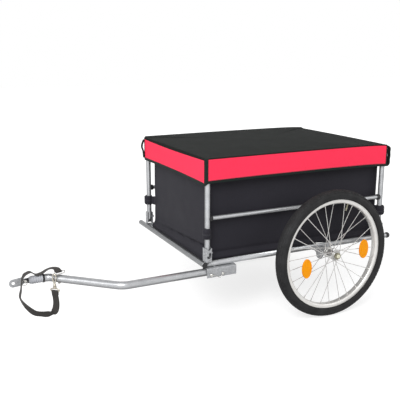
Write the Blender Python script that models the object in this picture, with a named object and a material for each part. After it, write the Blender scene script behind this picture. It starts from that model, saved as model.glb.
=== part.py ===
"""Two-wheeled bicycle cargo trailer with folding sides, a fabric box, a cover and an offset tow bar.

Metres, +Z up. The ground is z = 0, the hitch points to -X, and the tow bar is on the -Y side.
Every place below is measured from the middle of the four corner posts, on the ground.
The datum empty then shifts the whole trailer so that x = 0 is halfway along its length.
"""

import math

import bmesh
import bpy
from mathutils import Matrix, Vector

# Gap left between pieces that touch on the real trailer
GAP = 0.0003
FULL_TURN = 2 * math.pi
SIDES = (-1, 1)

# Corner posts and the rails of the two folding side frames
POST_X = 0.392
POST_Y = 0.285
POST_R = 0.010
POST_WALL = 0.0012
POST_LOW = 0.286
POST_HIGH = 0.634
POST_CAP = 0.004
PIVOT_Z = 0.296
TOP_RAIL_Z = 0.6215
MID_RAIL_Z = 0.4255
MID_RAIL_R = 0.008
BUSHING_R = 0.0115
BUSHING_LENGTH = 0.016
TUBE_SIDES = 12
BOLT_SIDES = 8

# Base frame
BASE_Z = 0.2565
BASE_R = 0.010
BASE_WALL = 0.0015
BASE_REAR = 0.4330
FRONT_TUBE_X = -0.4085
FRONT_TUBE_NEAR = -0.2960
FRONT_TUBE_FAR = 0.3450
BALL_R = 0.0120
BALL_SEAT_ANGLE = 45
BALL_TIP_ANGLE = 172
BALL_STEPS = 5
PLUG_STEM_R = 0.0080
PLUG_STEM = 0.010
PLUG_SHOULDER = 0.0027
PLUG_DOME = 0.0045

# Pressed U brackets that carry the posts, with their pivot bolts
BRACKET_SHEET = 0.0020
BRACKET_HALF = 0.0125
BRACKET_OUT = 0.0165
BRACKET_IN = 0.0115
BRACKET_LOW = 0.2668
BRACKET_HIGH = 0.3170
WINDOW_HALF = 0.0080
WINDOW_LOW = 0.2790
WINDOW_HIGH = 0.3010
NOTCH_HALF = 0.0080
NOTCH_DEPTH = 0.0080
BOLT_R = 0.0030
BOLT_HOLE_R = 0.0033
BOLT_HEAD_R = 0.0060
BOLT_HEAD = 0.0040
BOLT_NUT = 0.0055
BOLT_END = 0.0085

# Wheels: 20 inch, 28 spokes, on quick-release stub axles; "out" is away from the trailer's middle
WHEEL_X = 0.098
WHEEL_Y = 0.370
WHEEL_R = 0.250
WHEEL_STEPS = 36
TYRE_SECTION_R = 0.0235
TYRE_INSIDE_R = 0.0195
TYRE_OUTER_SWEEP = 128
TYRE_INNER_SWEEP = 150
TYRE_OUTER_STEPS = 8
TYRE_INNER_STEPS = 4
BEAD_OUT = 0.0119
BEAD_IN = 0.0085
BEAD_SEAT = 0.0007
RIM_R = 0.2105
RIM_BED_R = 0.2045
RIM_SHOULDER_R = 0.2040
RIM_INNER_R = 0.1990
RIM_HALF = 0.0140
RIM_INNER_HALF = 0.0085
RIM_FLANGE = 0.0016
SPOKES = 28
SPOKE_R = 0.0012
SPOKE_LACING = math.radians(58)
SPOKE_HUB_R = 0.0185
SPOKE_HUB_OUT = 0.0230
SPOKE_RIM_OUT = 0.0030
SPOKE_STAGGER = 0.0014
HUB_STEPS = 16
HUB_BORE_R = 0.0068
HUB_FLANGE_R = 0.0210
HUB_FLANGE = 0.0030
HUB_BARREL_R = 0.0125
HUB_SHOULDER = 0.0190
HUB_END_R = 0.0110
HUB_NUT_R = 0.0150
HUB_INNER = -0.0270
HUB_OUTER = 0.0300
AXLE_R = 0.0062
AXLE_LEAD = 0.0020
AXLE_INNER = -0.1060
AXLE_HEAD_LOW = 0.0303
AXLE_HEAD_HIGH = 0.0390
AXLE_HEAD_R = 0.0125
AXLE_RECESS = 0.0355
AXLE_BORE_END = 0.0150
BUTTON_R = 0.0075
BUTTON_LOW = 0.0388
BUTTON_HIGH = 0.0425
BUTTON_EDGE = 0.0015
BUTTON_STEM_R = 0.0030
BUTTON_BORE_R = 0.0034
BUTTON_STEM_END = 0.0185
REFLECTOR_HALF_WIDE = 0.0210
REFLECTOR_HALF_TALL = 0.0375
REFLECTOR_LOW = 0.0165
REFLECTOR_HIGH = 0.0240
REFLECTOR_RIM = 0.0015
REFLECTOR_SIDES = 16
REFLECTORS = ((0.1280, -0.0354), (-0.1356, 0.0060))

# Axle plates, and the cross tube that takes the stub axles
AXLE_TUBE_R = 0.0105
AXLE_WAY_R = 0.0066
PLATE_SHEET = 0.0030
PLATE_WIDE = 0.0420
PLATE_TOP = 0.2640
PLATE_LOBE_R = 0.0180
PLATE_LOBE_Z = 0.2260
PLATE_BOLTS = ((-0.030, 0.0070), (0.030, 0.0070), (0.0, -0.0310))
PLATE_BOLT_R = 0.0045
PLATE_BOLT_HEAD = 0.0030
RECEIVER_R = 0.0120
RECEIVER_OUT = 0.3415

# Tow bar, its bracket, stop bolt and lock pin
TOW_Y = -0.2865
TOW_Z = 0.2265
TOW_R = 0.0140
TOW_WALL = 0.0018
TOW_REAR_X = -0.3435
TOW_BEND_X = -0.7144
TOW_FRONT_BEND_X = -0.9220
TOW_FRONT_X = -0.9380
TOW_BEND_R = 0.060
TOW_FRONT_BEND_R = 0.030
HITCH_Y = -0.0925
CHANNEL_REAR_X = -0.2825
CHANNEL_FRONT_X = -0.4020
CHANNEL_HALF = 0.0185
CHANNEL_SHEET = 0.0022
CHANNEL_LOW = 0.2085
CHANNEL_HIGH = 0.2442
CHANNEL_SPACERS = (-0.3622, -0.2907)
SPACER_R = 0.0060
LOCK_PIN_X = -0.3840
LOCK_HEAD_R = 0.0070
LOCK_HEAD = 0.0042
LOCK_HEAD_EDGE = 0.0016
LOCK_END = 0.0245
PIN_LEAD = 0.0020
STOP_BOLT_X = -0.3383
STOP_HEAD_R = 0.0055
STOP_HEAD = 0.0045
STOP_NUT = 0.0050
STOP_END = 0.0075
CROSS_PIN_Z = 0.2180
CROSS_PIN_R = 0.0040
CROSS_HOLE_R = 0.0044
CLIP_R = 0.0013
CLIP_CORNER = 0.0025
CLIP_POINTS = ((0.0050, -0.0004), (0.0340, -0.0130), (0.0400, -0.0050))

# Hitch: collar, rubber joint, clevis, pin and the plate with the axle's eyelet
COLLAR_R = 0.0155
COLLAR_LENGTH = 0.0060
COLLAR_GAP = 0.0005
STEM_R = 0.0116
STEM_TIP_R = 0.0090
STEM_TIP_X = -0.9230
STEM_SHOULDER_X = -0.9345
RUBBER_R = 0.0145
RUBBER_TIP_R = 0.0095
RUBBER_REAR_X = -0.9450
RUBBER_TAPER_X = -0.9850
RUBBER_FRONT_X = -0.9930
RUBBER_RIBS = 5
RIB_SHARE = 0.6
RIB_DEPTH = 0.0012
CLEVIS_PIN_X = -1.0050
CLEVIS_DISC_R = 0.0095
CLEVIS_DISC_LOW = 0.0080
CLEVIS_EAR_GAP = 0.0024
CLEVIS_EAR = 0.0025
CLEVIS_EAR_R = 0.0075
PLATE_HALF = 0.0020
PLATE_HIGH = 0.0145
KNUCKLE_R = 0.0075
KNUCKLE_SWEEP = 110
SHOULDER = -0.0115
EYELET_AHEAD = -0.0405
EYELET_DROP = 0.0030
EYELET_R = 0.0058
HITCH_PIN_R = 0.0030
HITCH_HOLE_R = 0.0033
HITCH_HEAD_R = 0.0050
HITCH_HEAD_LOW = -0.0052
HITCH_HEAD_HIGH = -0.0082
HITCH_PIN_END = 0.0085
PIN_RING_R = 0.0095
PIN_RING_AHEAD = -0.0035
PIN_RING_DROP = 0.0050
PIN_RING_OUT = -0.0067
PIN_RING_WIRE_R = 0.0011
PIN_RING_STEPS = 14

# Safety strap with its ring on the tow bar; the ring is turned a little about its stem
RING_X = -0.8920
RING_Y = TOW_Y + (RING_X - TOW_BEND_X) * (HITCH_Y - TOW_Y) / (TOW_FRONT_BEND_X - TOW_BEND_X)
RING_TURN = math.radians(20)
RING_HALF = 0.0245
RING_RISE = 0.0090
RING_CORNER = 0.0044
RING_WIRE_R = 0.0017
RING_STEM_R = 0.0026
RING_HOLE_R = 0.0030
RING_NUT_R = 0.0050
RING_NUT_HIGH = -0.0143
RING_NUT_LOW = -0.0183
RING_STEM_END = -0.0200

# Snap hook, hanging from the near end of the ring beside the bar
HOOK_AHEAD = 0.0089
HOOK_OUT = 0.0175
HOOK_WIRE_R = 0.0018
HOOK_BOW_R = 0.0062
HOOK_NOSE = -0.0050
HOOK_SPINE = ((0.0058, -0.0120), (0.0024, -0.0250), (0.0, -0.0330))
HOOK_BARREL = ((-0.0300, 0.0032), (-0.0320, 0.0042), (-0.0400, 0.0050), (-0.0455, 0.0050))
HOOK_CHEEK = -0.0325
EYE_HALF = 0.0165
EYE_TOP = -0.0455
EYE_NECK = 0.0035
EYE_SHOULDER = (0.0145, -0.0478)
EYE_LOW = -0.0555
EYE_CORNER = 0.0042
GATE_PIVOT = (-0.0034, -0.0215)
GATE_TOP = (-0.0061, -0.0058)
GATE_LIFT = 0.0009
GATE_R = 0.0015

# The webbing. A guide is a place, the heading of its width, and its roll about its own run, in degrees.
STRAP_HALF = 0.0125
STRAP_THICK = 0.0016
STRAP_STEP = 0.009
STRAP_LAP = 0.0028
RING_LAP_START = ((0.0130, 0.0036), (0.0070, 0.0006))
RING_LAP_END = ((0.0070, 0.0048), (0.0125, 0.0072))
EYE_LAP_START = ((0.0012, -0.0150), (0.0024, -0.0060))
EYE_LAP_END = ((-0.0028, -0.0050), (-0.0016, -0.0150))
STRAP_OVER = ((-0.9050, -0.1010, 0.2612, 45, 0), (-0.9170, -0.0955, 0.2600, 65, 0),
              (-0.9310, -0.0928, 0.2545, 82, 0), (-0.9451, -0.0925, 0.2470, 90, 0),
              (-0.9663, -0.0925, 0.2434, 90, 0), (-0.9834, -0.0925, 0.2554, 90, 0),
              (-0.9949, -0.0960, 0.2560, 90, 0), (-1.0080, -0.1070, 0.2530, 90, 0))
STRAP_DOWN = ((-1.0177, -0.1130, 0.2424, 90, 0), (-1.0218, -0.1135, 0.2209, 90, 0),
              (-1.0240, -0.1130, 0.2029, 90, 0), (-1.0290, -0.1130, 0.1782, 90, 0),
              (-1.0215, -0.1135, 0.1585, 90, 2), (-1.0051, -0.1150, 0.1338, 90, 5),
              (-0.9827, -0.1170, 0.1116, 90, 15))
STRAP_BACK = ((-0.9591, -0.1190, 0.1041, 90, 25), (-0.9385, -0.1210, 0.1029, 90, 33),
              (-0.9244, -0.1230, 0.1105, 90, 38), (-0.9180, -0.1260, 0.1400, 90, 43),
              (-0.9130, -0.1270, 0.1600, 136, 0))

# Fabric box and cover
CLOTH = 0.0020
SIDE_CLOTH_X = 0.3765
SIDE_CLOTH_Y = 0.2610
SIDE_CLOTH_LOW = 0.2900
SIDE_CLOTH_HIGH = 0.6135
SLEEVE_R = 0.0118
SLEEVE_BORE_R = 0.0106
SLEEVE_WEB = 0.0016
TIE_LOW = 0.3520
TIE_HIGH = 0.3900
END_CLOTH_X = 0.3790
END_CLOTH_Y = 0.2560
END_CLOTH_LOW = 0.2705
END_CLOTH_HIGH = 0.6120
FLOOR_X = 0.3780
FLOOR_Y = 0.2620
FLOOR_LOW = 0.2668
FLOOR_HIGH = 0.2695
COVER_X = 0.4070
COVER_Y = 0.3000
COVER_LOW = 0.5570
COVER_HIGH = 0.6410
COVER_CORNER = 0.0120
COVER_SHEET = 0.0025
COVER_EDGE = 0.0030
COVER_CROWN = 0.0030
CROWN_INSET = 0.1500

# Overall reach of the eyelet plate and the rear ball, and the shift that centres the whole length
BALL_CENTRE = GAP + BALL_R * math.cos(math.radians(BALL_SEAT_ANGLE))
FRONT_REACH = PLATE_HIGH - EYELET_AHEAD - CLEVIS_PIN_X
REAR_REACH = BASE_REAR + BALL_CENTRE - BALL_R * math.cos(math.radians(BALL_TIP_ANGLE))
DATUM_X = (FRONT_REACH - REAR_REACH) / 2


def clear_scene():
    for thing in list(bpy.data.objects):
        bpy.data.objects.remove(thing)


def finish(name, colour, roughness, metallic=0.0):
    """A Principled material with one colour, roughness and metallic value."""
    material = bpy.data.materials.new(name)
    material.use_nodes = True
    shader = material.node_tree.nodes["Principled BSDF"]
    shader.inputs["Base Color"].default_value = (*colour, 1.0)
    shader.inputs["Roughness"].default_value = roughness
    shader.inputs["Metallic"].default_value = metallic
    material.diffuse_color = (*colour, 1.0)
    return material


def empty(name, place, parent=None, turn_z=0.0):
    marker = bpy.data.objects.new(name, None)
    bpy.context.scene.collection.objects.link(marker)
    marker.location = place
    marker.rotation_euler = (0, 0, turn_z)
    marker.parent = parent
    return marker


def add(name, body, material, parent, place=(0, 0, 0), turn_z=0.0):
    """Turn a bmesh into a named object under a parent, shaded smooth except over sharp edges."""
    bmesh.ops.recalc_face_normals(body, faces=body.faces)
    mesh = bpy.data.meshes.new(name)
    body.to_mesh(mesh)
    body.free()
    mesh.shade_smooth()
    mesh.set_sharp_from_angle(angle=math.radians(35))
    thing = bpy.data.objects.new(name, mesh)
    bpy.context.scene.collection.objects.link(thing)
    thing.location = place
    thing.rotation_euler = (0, 0, turn_z)
    thing.parent = parent
    if material:
        mesh.materials.append(material)
    return thing


def helper(name, body, parent, place=(0, 0, 0), turn_z=0.0):
    """A hidden solid that only serves a Boolean."""
    thing = add(name, body, None, parent, place, turn_z)
    thing.hide_render = True
    thing.display_type = "WIRE"
    return thing


def combine(thing, other, operation):
    modifier = thing.modifiers.new(other.name, "BOOLEAN")
    modifier.operation = operation
    modifier.solver = "EXACT"
    modifier.object = other


def cut(thing, other):
    combine(thing, other, "DIFFERENCE")


def fuse(thing, other):
    combine(thing, other, "UNION")


def loft(rings, closed=False, body=None):
    """Skin a row of equal point rings: capped at both ends, or closed back onto the first ring."""
    body = body or bmesh.new()
    rows = [[body.verts.new(point) for point in ring] for ring in rings]
    pairs = list(zip(rows, rows[1:]))
    if closed:
        pairs.append((rows[-1], rows[0]))
    count = len(rows[0])
    for low, high in pairs:
        for i in range(count):
            j = (i + 1) % count
            body.faces.new((low[i], low[j], high[j], high[i]))
    if not closed:
        body.faces.new(rows[0])
        body.faces.new(rows[-1])
    return body


def around(axis, angle, radius, along):
    """A point at a radius and an angle around an axis, some way along it."""
    a = radius * math.cos(angle)
    b = radius * math.sin(angle)
    return {"X": (along, a, b), "Y": (a, along, b), "Z": (a, b, along)}[axis]


def turned(profile, axis, sides, closed=False):
    """Revolve (along, radius) points around an axis through the object's origin."""
    angles = [FULL_TURN * i / sides for i in range(sides)]
    rings = [[around(axis, angle, radius, along) for angle in angles] for along, radius in profile]
    return loft(rings, closed)


def rod(axis, radius, low, high, sides=12):
    return turned(((low, radius), (high, radius)), axis, sides)


def pipe(axis, radius, bore, low, high, sides=TUBE_SIDES):
    return turned(((low, radius), (high, radius), (high, bore), (low, bore)), axis, sides, True)


def prism(outline, axis, low, high):
    """Extrude a flat outline along an axis; its two numbers follow the other two axes in order."""
    order = {"X": lambda a, b, c: (c, a, b), "Y": lambda a, b, c: (a, c, b),
             "Z": lambda a, b, c: (a, b, c)}[axis]
    return loft([[order(a, b, level) for a, b in outline] for level in (low, high)])


def block(low, high):
    outline = ((low[0], low[1]), (high[0], low[1]), (high[0], high[1]), (low[0], high[1]))
    return prism(outline, "Z", low[2], high[2])


def arc(centre, radius, start, end, steps):
    """Points of a flat arc, its angles in degrees."""
    angles = [math.radians(start + (end - start) * i / steps) for i in range(steps + 1)]
    return [(centre[0] + radius * math.cos(a), centre[1] + radius * math.sin(a)) for a in angles]


def rounded_box(half_a, half_b, corner, steps=3):
    outline = []
    for turn, (a, b) in enumerate(((1, 1), (-1, 1), (-1, -1), (1, -1))):
        centre = (a * (half_a - corner), b * (half_b - corner))
        outline += arc(centre, corner, 90 * turn, 90 * turn + 90, steps)
    return outline


def u_section(half, base, mouth, sheet):
    """The outline of a bent sheet U: its base lies at one level, and its two legs reach to the mouth."""
    way = math.copysign(1, mouth - base)
    depth = abs(mouth - base)
    bend = 2 * sheet
    side = half - bend
    outside = arc((side, bend), bend, 0, -90, 2) + arc((-side, bend), bend, -90, -180, 2)
    inside = arc((-side, bend), sheet, 180, 270, 2) + arc((side, bend), sheet, -90, 0, 2)
    outline = [(half, depth), *outside, (-half, depth), (sheet - half, depth), *inside, (half - sheet, depth)]
    return [(a, base + way * b) for a, b in outline]


def bent_path(corners, radii, steps=4):
    """The corner points joined by straight runs, each inner corner rounded by an arc."""
    points = [Vector(corners[0])]
    for before, corner, after, radius in zip(corners, corners[1:], corners[2:], radii):
        corner = Vector(corner)
        back = (Vector(before) - corner).normalized()
        ahead = (Vector(after) - corner).normalized()
        half = back.angle(ahead) / 2
        centre = corner + (back + ahead).normalized() * radius / math.sin(half)
        start = corner + back * radius / math.tan(half) - centre
        end = corner + ahead * radius / math.tan(half) - centre
        for i in range(steps + 1):
            points.append(centre + start.slerp(end, i / steps).normalized() * radius)
    points.append(Vector(corners[-1]))
    return points


def smooth_path(guides, step):
    """A Catmull-Rom curve through guides of five numbers, a place, a heading and a roll, a step apart."""
    guides = [Vector(guide) for guide in guides]
    ends = [2 * guides[0] - guides[1], *guides, 2 * guides[-1] - guides[-2]]
    points = [guides[0]]
    for before, start, end, after in zip(ends, ends[1:], ends[2:], ends[3:]):
        count = max(1, round((end - start).to_3d().length / step))
        for i in range(1, count + 1):
            t = i / count
            bend = (2 * before - 5 * start + 4 * end - after) * t * t
            twist = (3 * start - before - 3 * end + after) * t * t * t
            points.append((2 * start + (end - before) * t + bend + twist) / 2)
    return points


def directions(path, closed=False):
    last = len(path) - 1
    found = []
    for i in range(len(path)):
        before = path[i - 1] if closed or i else path[0]
        after = path[(i + 1) % len(path)] if closed or i < last else path[last]
        found.append((after - before).normalized())
    return found


def swept(path, radius, sides, up, closed=False):
    """Rings of a round bar along a path; up is a direction that is never along the path."""
    rings = []
    for point, ahead in zip(path, directions(path, closed)):
        side = ahead.cross(up).normalized() * radius
        over = side.cross(ahead)
        angles = [FULL_TURN * i / sides for i in range(sides)]
        rings.append([point + side * math.cos(a) + over * math.sin(a) for a in angles])
    return rings


def wire(path, radius, up, sides=6, closed=False):
    return loft(swept(path, radius, sides, up, closed), closed)


def upright(outline, y=0.0):
    """Flat (x, z) points as a path standing in one plane."""
    return [Vector((x, y, z)) for x, z in outline]


class Finishes:
    """The colours of the trailer's pieces, read from the photograph."""

    def __init__(self):
        self.tube = finish("silver_tube", (0.62, 0.62, 0.64), 0.34, 0.85)
        self.sheet = finish("galvanised_sheet", (0.50, 0.51, 0.52), 0.45, 0.85)
        self.bright = finish("bright_steel", (0.66, 0.65, 0.62), 0.28, 0.95)
        self.alloy = finish("alloy", (0.72, 0.72, 0.73), 0.30, 0.90)
        self.dark = finish("dark_steel", (0.06, 0.06, 0.065), 0.40, 0.80)
        self.plastic = finish("black_plastic", (0.02, 0.02, 0.022), 0.45)
        self.rubber = finish("tyre_rubber", (0.025, 0.026, 0.028), 0.80)
        self.grey = finish("grey_rubber", (0.36, 0.37, 0.38), 0.65)
        self.cloth = finish("black_oxford", (0.022, 0.023, 0.028), 0.85)
        self.red = finish("red_cover", (0.90, 0.07, 0.11), 0.70)
        self.webbing = finish("black_webbing", (0.03, 0.03, 0.032), 0.75)
        self.amber = finish("amber_reflector", (0.95, 0.33, 0.02), 0.15)
        self.cream = finish("cream_button", (0.80, 0.78, 0.70), 0.40)


def side_name(side):
    return "left" if side < 0 else "right"


def end_name(end):
    return "front" if end < 0 else "rear"


def end_ball():
    """A ball-shaped end cap whose stem pushes into the tube."""
    profile = [(-PLUG_STEM, PLUG_STEM_R), (GAP, PLUG_STEM_R)]
    for i in range(BALL_STEPS):
        angle = math.radians(BALL_SEAT_ANGLE + (BALL_TIP_ANGLE - BALL_SEAT_ANGLE) * i / (BALL_STEPS - 1))
        profile.append((BALL_CENTRE - BALL_R * math.cos(angle), BALL_R * math.sin(angle)))
    return turned(profile, "X", TUBE_SIDES)


def tube_plug(way):
    """A low domed plug whose stem sits in the tube's end."""
    profile = ((-PLUG_STEM, PLUG_STEM_R), (GAP, PLUG_STEM_R), (GAP, BASE_R), (PLUG_SHOULDER, BASE_R),
               (PLUG_DOME, BASE_R / 2))
    return turned([(way * along, radius) for along, radius in profile], "Y", TUBE_SIDES)


def long_tube(look, datum, side, front_cope):
    """A long tube, coped to the front tube and bored for the stub axle. Returns its neighbours' cope."""
    name = side_name(side)
    place = (0, side * POST_Y, BASE_Z)
    body = pipe("X", BASE_R, BASE_R - BASE_WALL, FRONT_TUBE_X, BASE_REAR)
    tube = add(f"{name}_base_tube", body, look.tube, datum, place)
    cut(tube, front_cope)
    way = rod("Y", AXLE_WAY_R, -2 * BASE_R, 2 * BASE_R, TUBE_SIDES)
    cut(tube, helper(f"{name}_axle_way", way, datum, (WHEEL_X, side * POST_Y, WHEEL_R)))
    add(f"{name}_end_ball", end_ball(), look.plastic, datum, (BASE_REAR, side * POST_Y, BASE_Z))
    cope = rod("X", BASE_R + GAP, -POST_X, POST_X + 2 * BASE_R, TUBE_SIDES)
    return helper(f"{name}_side_cope", cope, datum, place)


def base_frame(look, datum):
    """Two long tubes and three cross tubes, coped where they meet, with their end caps."""
    front_place = (FRONT_TUBE_X, 0, BASE_Z)
    front_cope = helper("front_cope", rod("Y", BASE_R + GAP, -POST_X, POST_X, TUBE_SIDES), datum, front_place)
    side_copes = [long_tube(look, datum, side, front_cope) for side in SIDES]
    bore = BASE_R - BASE_WALL
    front = pipe("Y", BASE_R, bore, FRONT_TUBE_NEAR, FRONT_TUBE_FAR)
    add("front_cross_tube", front, look.tube, datum, front_place)
    for name, end, way in (("left", FRONT_TUBE_NEAR, -1), ("right", FRONT_TUBE_FAR, 1)):
        add(f"front_tube_{name}_plug", tube_plug(way), look.plastic, datum, (FRONT_TUBE_X, end, BASE_Z))
    body = pipe("Y", BASE_R, bore, -POST_Y, POST_Y)
    rear = add("rear_cross_tube", body, look.tube, datum, (POST_X, 0, BASE_Z))
    body = pipe("Y", AXLE_TUBE_R, AXLE_WAY_R, -POST_Y, POST_Y)
    axle = add("axle_cross_tube", body, look.tube, datum, (WHEEL_X, 0, WHEEL_R))
    for cope in side_copes:
        cut(rear, cope)
        cut(axle, cope)


def pivot_bolt(way):
    """The bolt through a bracket's ears: a domed head on one side, nut and thread end on the other."""
    face = BRACKET_HALF - GAP
    profile = ((-face - BOLT_HEAD, BOLT_R), (-face - BOLT_HEAD / 2, BOLT_HEAD_R), (-face, BOLT_HEAD_R),
               (-face, BOLT_R), (face, BOLT_R), (face, BOLT_HEAD_R), (face + BOLT_NUT, BOLT_HEAD_R),
               (face + BOLT_NUT, BOLT_R), (face + BOLT_END, BOLT_R))
    return turned([(way * along, radius) for along, radius in profile], "X", BOLT_SIDES)


def post_bracket(look, datum, side, end):
    """A pressed U bracket on the base tube: a windowed web outside, and ears that hold the pivot bolt."""
    name = f"{side_name(side)}_{end_name(end)}"
    place = (end * POST_X, side * POST_Y, 0)
    turn = 0 if side < 0 else math.pi
    section = u_section(BRACKET_HALF, -BRACKET_OUT, BRACKET_IN, BRACKET_SHEET)
    body = prism(section, "Z", BRACKET_LOW, BRACKET_HIGH)
    bracket = add(f"{name}_bracket", body, look.sheet, datum, place, turn)
    near = -BRACKET_OUT - BRACKET_SHEET
    far = -BRACKET_OUT + 2 * BRACKET_SHEET
    window = [(WINDOW_HALF, WINDOW_HIGH), (-WINDOW_HALF, WINDOW_HIGH)]
    window += arc((0, WINDOW_LOW + WINDOW_HALF), WINDOW_HALF, 180, 360, 8)
    cut(bracket, helper(f"{name}_window", prism(window, "Y", near, far), datum, place, turn))
    notch = ((2 * NOTCH_HALF, BRACKET_HIGH + NOTCH_DEPTH), (-2 * NOTCH_HALF, BRACKET_HIGH + NOTCH_DEPTH),
             (0, BRACKET_HIGH - NOTCH_DEPTH))
    cut(bracket, helper(f"{name}_notch", prism(notch, "Y", near, far), datum, place, turn))
    bolt = helper(f"{name}_bolt", pivot_bolt(-end), datum, (place[0], place[1], PIVOT_Z))
    fuse(bracket, bolt)


def plate_outline():
    """The axle plate's outline: a straight top, concave flanks and a round lobe under the axle."""
    flank = PLATE_WIDE - PLATE_LOBE_R
    outline = [(-PLATE_WIDE, PLATE_TOP)]
    outline += arc((-PLATE_WIDE, PLATE_LOBE_Z), flank, 90, 0, 5)
    outline += arc((0, PLATE_LOBE_Z), PLATE_LOBE_R, 190, 350, 8)
    outline += arc((PLATE_WIDE, PLATE_LOBE_Z), flank, 180, 90, 5)
    return outline + [(PLATE_WIDE, PLATE_TOP)]


def axle_plate(look, datum, side):
    """A plate beside the base tube, with the sleeve that takes the stub axle, and its bolts."""
    name = side_name(side)
    inner = POST_Y + BASE_R + GAP
    outer = inner + PLATE_SHEET
    hub = (WHEEL_X, 0, WHEEL_R)
    body = prism(plate_outline(), "Y", side * inner, side * outer)
    plate = add(f"{name}_axle_plate", body, look.sheet, datum, (WHEEL_X, 0, 0))
    sleeve = rod("Y", RECEIVER_R, side * (inner + GAP), side * RECEIVER_OUT, TUBE_SIDES)
    fuse(plate, helper(f"{name}_sleeve", sleeve, datum, hub))
    for number, (x, z) in enumerate(PLATE_BOLTS):
        bolt = rod("Y", PLATE_BOLT_R, side * (inner + GAP), side * (outer + PLATE_BOLT_HEAD), 6)
        fuse(plate, helper(f"{name}_plate_bolt_{number}", bolt, datum, (WHEEL_X + x, 0, WHEEL_R + z)))
    bore = rod("Y", AXLE_WAY_R, side * (inner - PLATE_SHEET), side * (RECEIVER_OUT + PLATE_SHEET), TUBE_SIDES)
    cut(plate, helper(f"{name}_sleeve_bore", bore, datum, hub))


def side_post(look, hinge, side, end):
    """A hollow post, capped at both ends, with the pivot's cross hole. Returns the cope for its rails."""
    name = f"{side_name(side)}_{end_name(end)}_post"
    place = (end * POST_X, 0, 0)
    low, high = POST_LOW - PIVOT_Z, POST_HIGH - PIVOT_Z
    edge = POST_CAP / 4
    profile = ((low, POST_R - edge), (low + edge, POST_R), (high - edge, POST_R), (high, POST_R - edge))
    post = add(name, turned(profile, "Z", TUBE_SIDES), look.tube, hinge, place)
    bore = rod("Z", POST_R - POST_WALL, low + POST_CAP, high - POST_CAP, TUBE_SIDES)
    cut(post, helper(f"{name}_bore", bore, hinge, place))
    cut(post, helper(f"{name}_hole", rod("X", BOLT_HOLE_R, -2 * POST_R, 2 * POST_R), hinge, place))
    return helper(f"{name}_cope", rod("Z", POST_R + GAP, low, high + POST_CAP, TUBE_SIDES), hinge, place)


def rail_bushing(look, hinge, side, end, cope):
    """The plastic bushing at one end of a mid rail, shaped to the post."""
    face = end * POST_X
    inner = end * (POST_X - POST_R - BUSHING_LENGTH)
    body = pipe("X", BUSHING_R, MID_RAIL_R + GAP, inner, face)
    place = (0, 0, MID_RAIL_Z - PIVOT_Z)
    cut(add(f"{side_name(side)}_{end_name(end)}_bushing", body, look.plastic, hinge, place), cope)


def sleeve_web(inward):
    """The cloth from the rail's sleeve down to the top of the panel, in the sleeve's own place."""
    near = (SLEEVE_BORE_R + SLEEVE_R) / 2
    far = POST_Y - SIDE_CLOTH_Y + CLOTH / 4
    high = SIDE_CLOTH_HIGH - CLOTH - TOP_RAIL_Z
    outline = ((near, SLEEVE_WEB / 2), (far, high + SLEEVE_WEB), (far, high), (near, -SLEEVE_WEB / 2))
    reach = SIDE_CLOTH_X - 2 * CLOTH
    return prism([(inward * y, z) for y, z in outline], "X", -reach, reach)


def tie_web(end, inward):
    """The cloth from a post's tie to the edge of the panel, in the post's own place."""
    edge = Vector((end * (SIDE_CLOTH_X - POST_X), inward * (POST_Y - SIDE_CLOTH_Y)))
    ahead = edge.normalized()
    across = Vector((-ahead.y, ahead.x)) * SLEEVE_WEB / 2
    near = ahead * (SLEEVE_BORE_R + SLEEVE_R) / 2
    far = edge + ahead * CLOTH / 8
    outline = (near + across, near - across, far - across, far + across)
    return prism(outline, "Z", TIE_LOW - PIVOT_Z + CLOTH, TIE_HIGH - PIVOT_Z - CLOTH)


def side_cloth(look, hinge, side):
    """The box's side: a panel inside the posts, a sleeve round the top rail and a tie round each post."""
    name = f"{side_name(side)}_side_cloth"
    inward = -side
    depth = inward * (POST_Y - SIDE_CLOTH_Y)
    low, high = SIDE_CLOTH_LOW - PIVOT_Z, SIDE_CLOTH_HIGH - PIVOT_Z
    panel = block((-SIDE_CLOTH_X, depth - CLOTH / 2, low), (SIDE_CLOTH_X, depth + CLOTH / 2, high))
    cloth = add(name, panel, look.cloth, hinge)
    rail = (0, 0, TOP_RAIL_Z - PIVOT_Z)
    sleeve = pipe("X", SLEEVE_R, SLEEVE_BORE_R, CLOTH - SIDE_CLOTH_X, SIDE_CLOTH_X - CLOTH)
    fuse(cloth, helper(f"{name}_sleeve", sleeve, hinge, rail))
    fuse(cloth, helper(f"{name}_sleeve_web", sleeve_web(inward), hinge, rail))
    for end in SIDES:
        place = (end * POST_X, 0, 0)
        tie = pipe("Z", SLEEVE_R, SLEEVE_BORE_R, TIE_LOW - PIVOT_Z, TIE_HIGH - PIVOT_Z)
        fuse(cloth, helper(f"{name}_{end_name(end)}_tie", tie, hinge, place))
        fuse(cloth, helper(f"{name}_{end_name(end)}_tie_web", tie_web(end, inward), hinge, place))


def side_frame(look, datum, side):
    """One folding side: two posts on their pivots, two rails, two bushings and the side cloth."""
    name = side_name(side)
    hinge = empty(f"{name}_side_pivot", (0, side * POST_Y, PIVOT_Z), datum)
    copes = [side_post(look, hinge, side, end) for end in SIDES]
    for rail, height, radius in (("top_rail", TOP_RAIL_Z, POST_R), ("mid_rail", MID_RAIL_Z, MID_RAIL_R)):
        body = pipe("X", radius, radius - POST_WALL, -POST_X, POST_X)
        tube = add(f"{name}_{rail}", body, look.tube, hinge, (0, 0, height - PIVOT_Z))
        for cope in copes:
            cut(tube, cope)
    for end, cope in zip(SIDES, copes):
        rail_bushing(look, hinge, side, end, cope)
    side_cloth(look, hinge, side)


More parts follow.
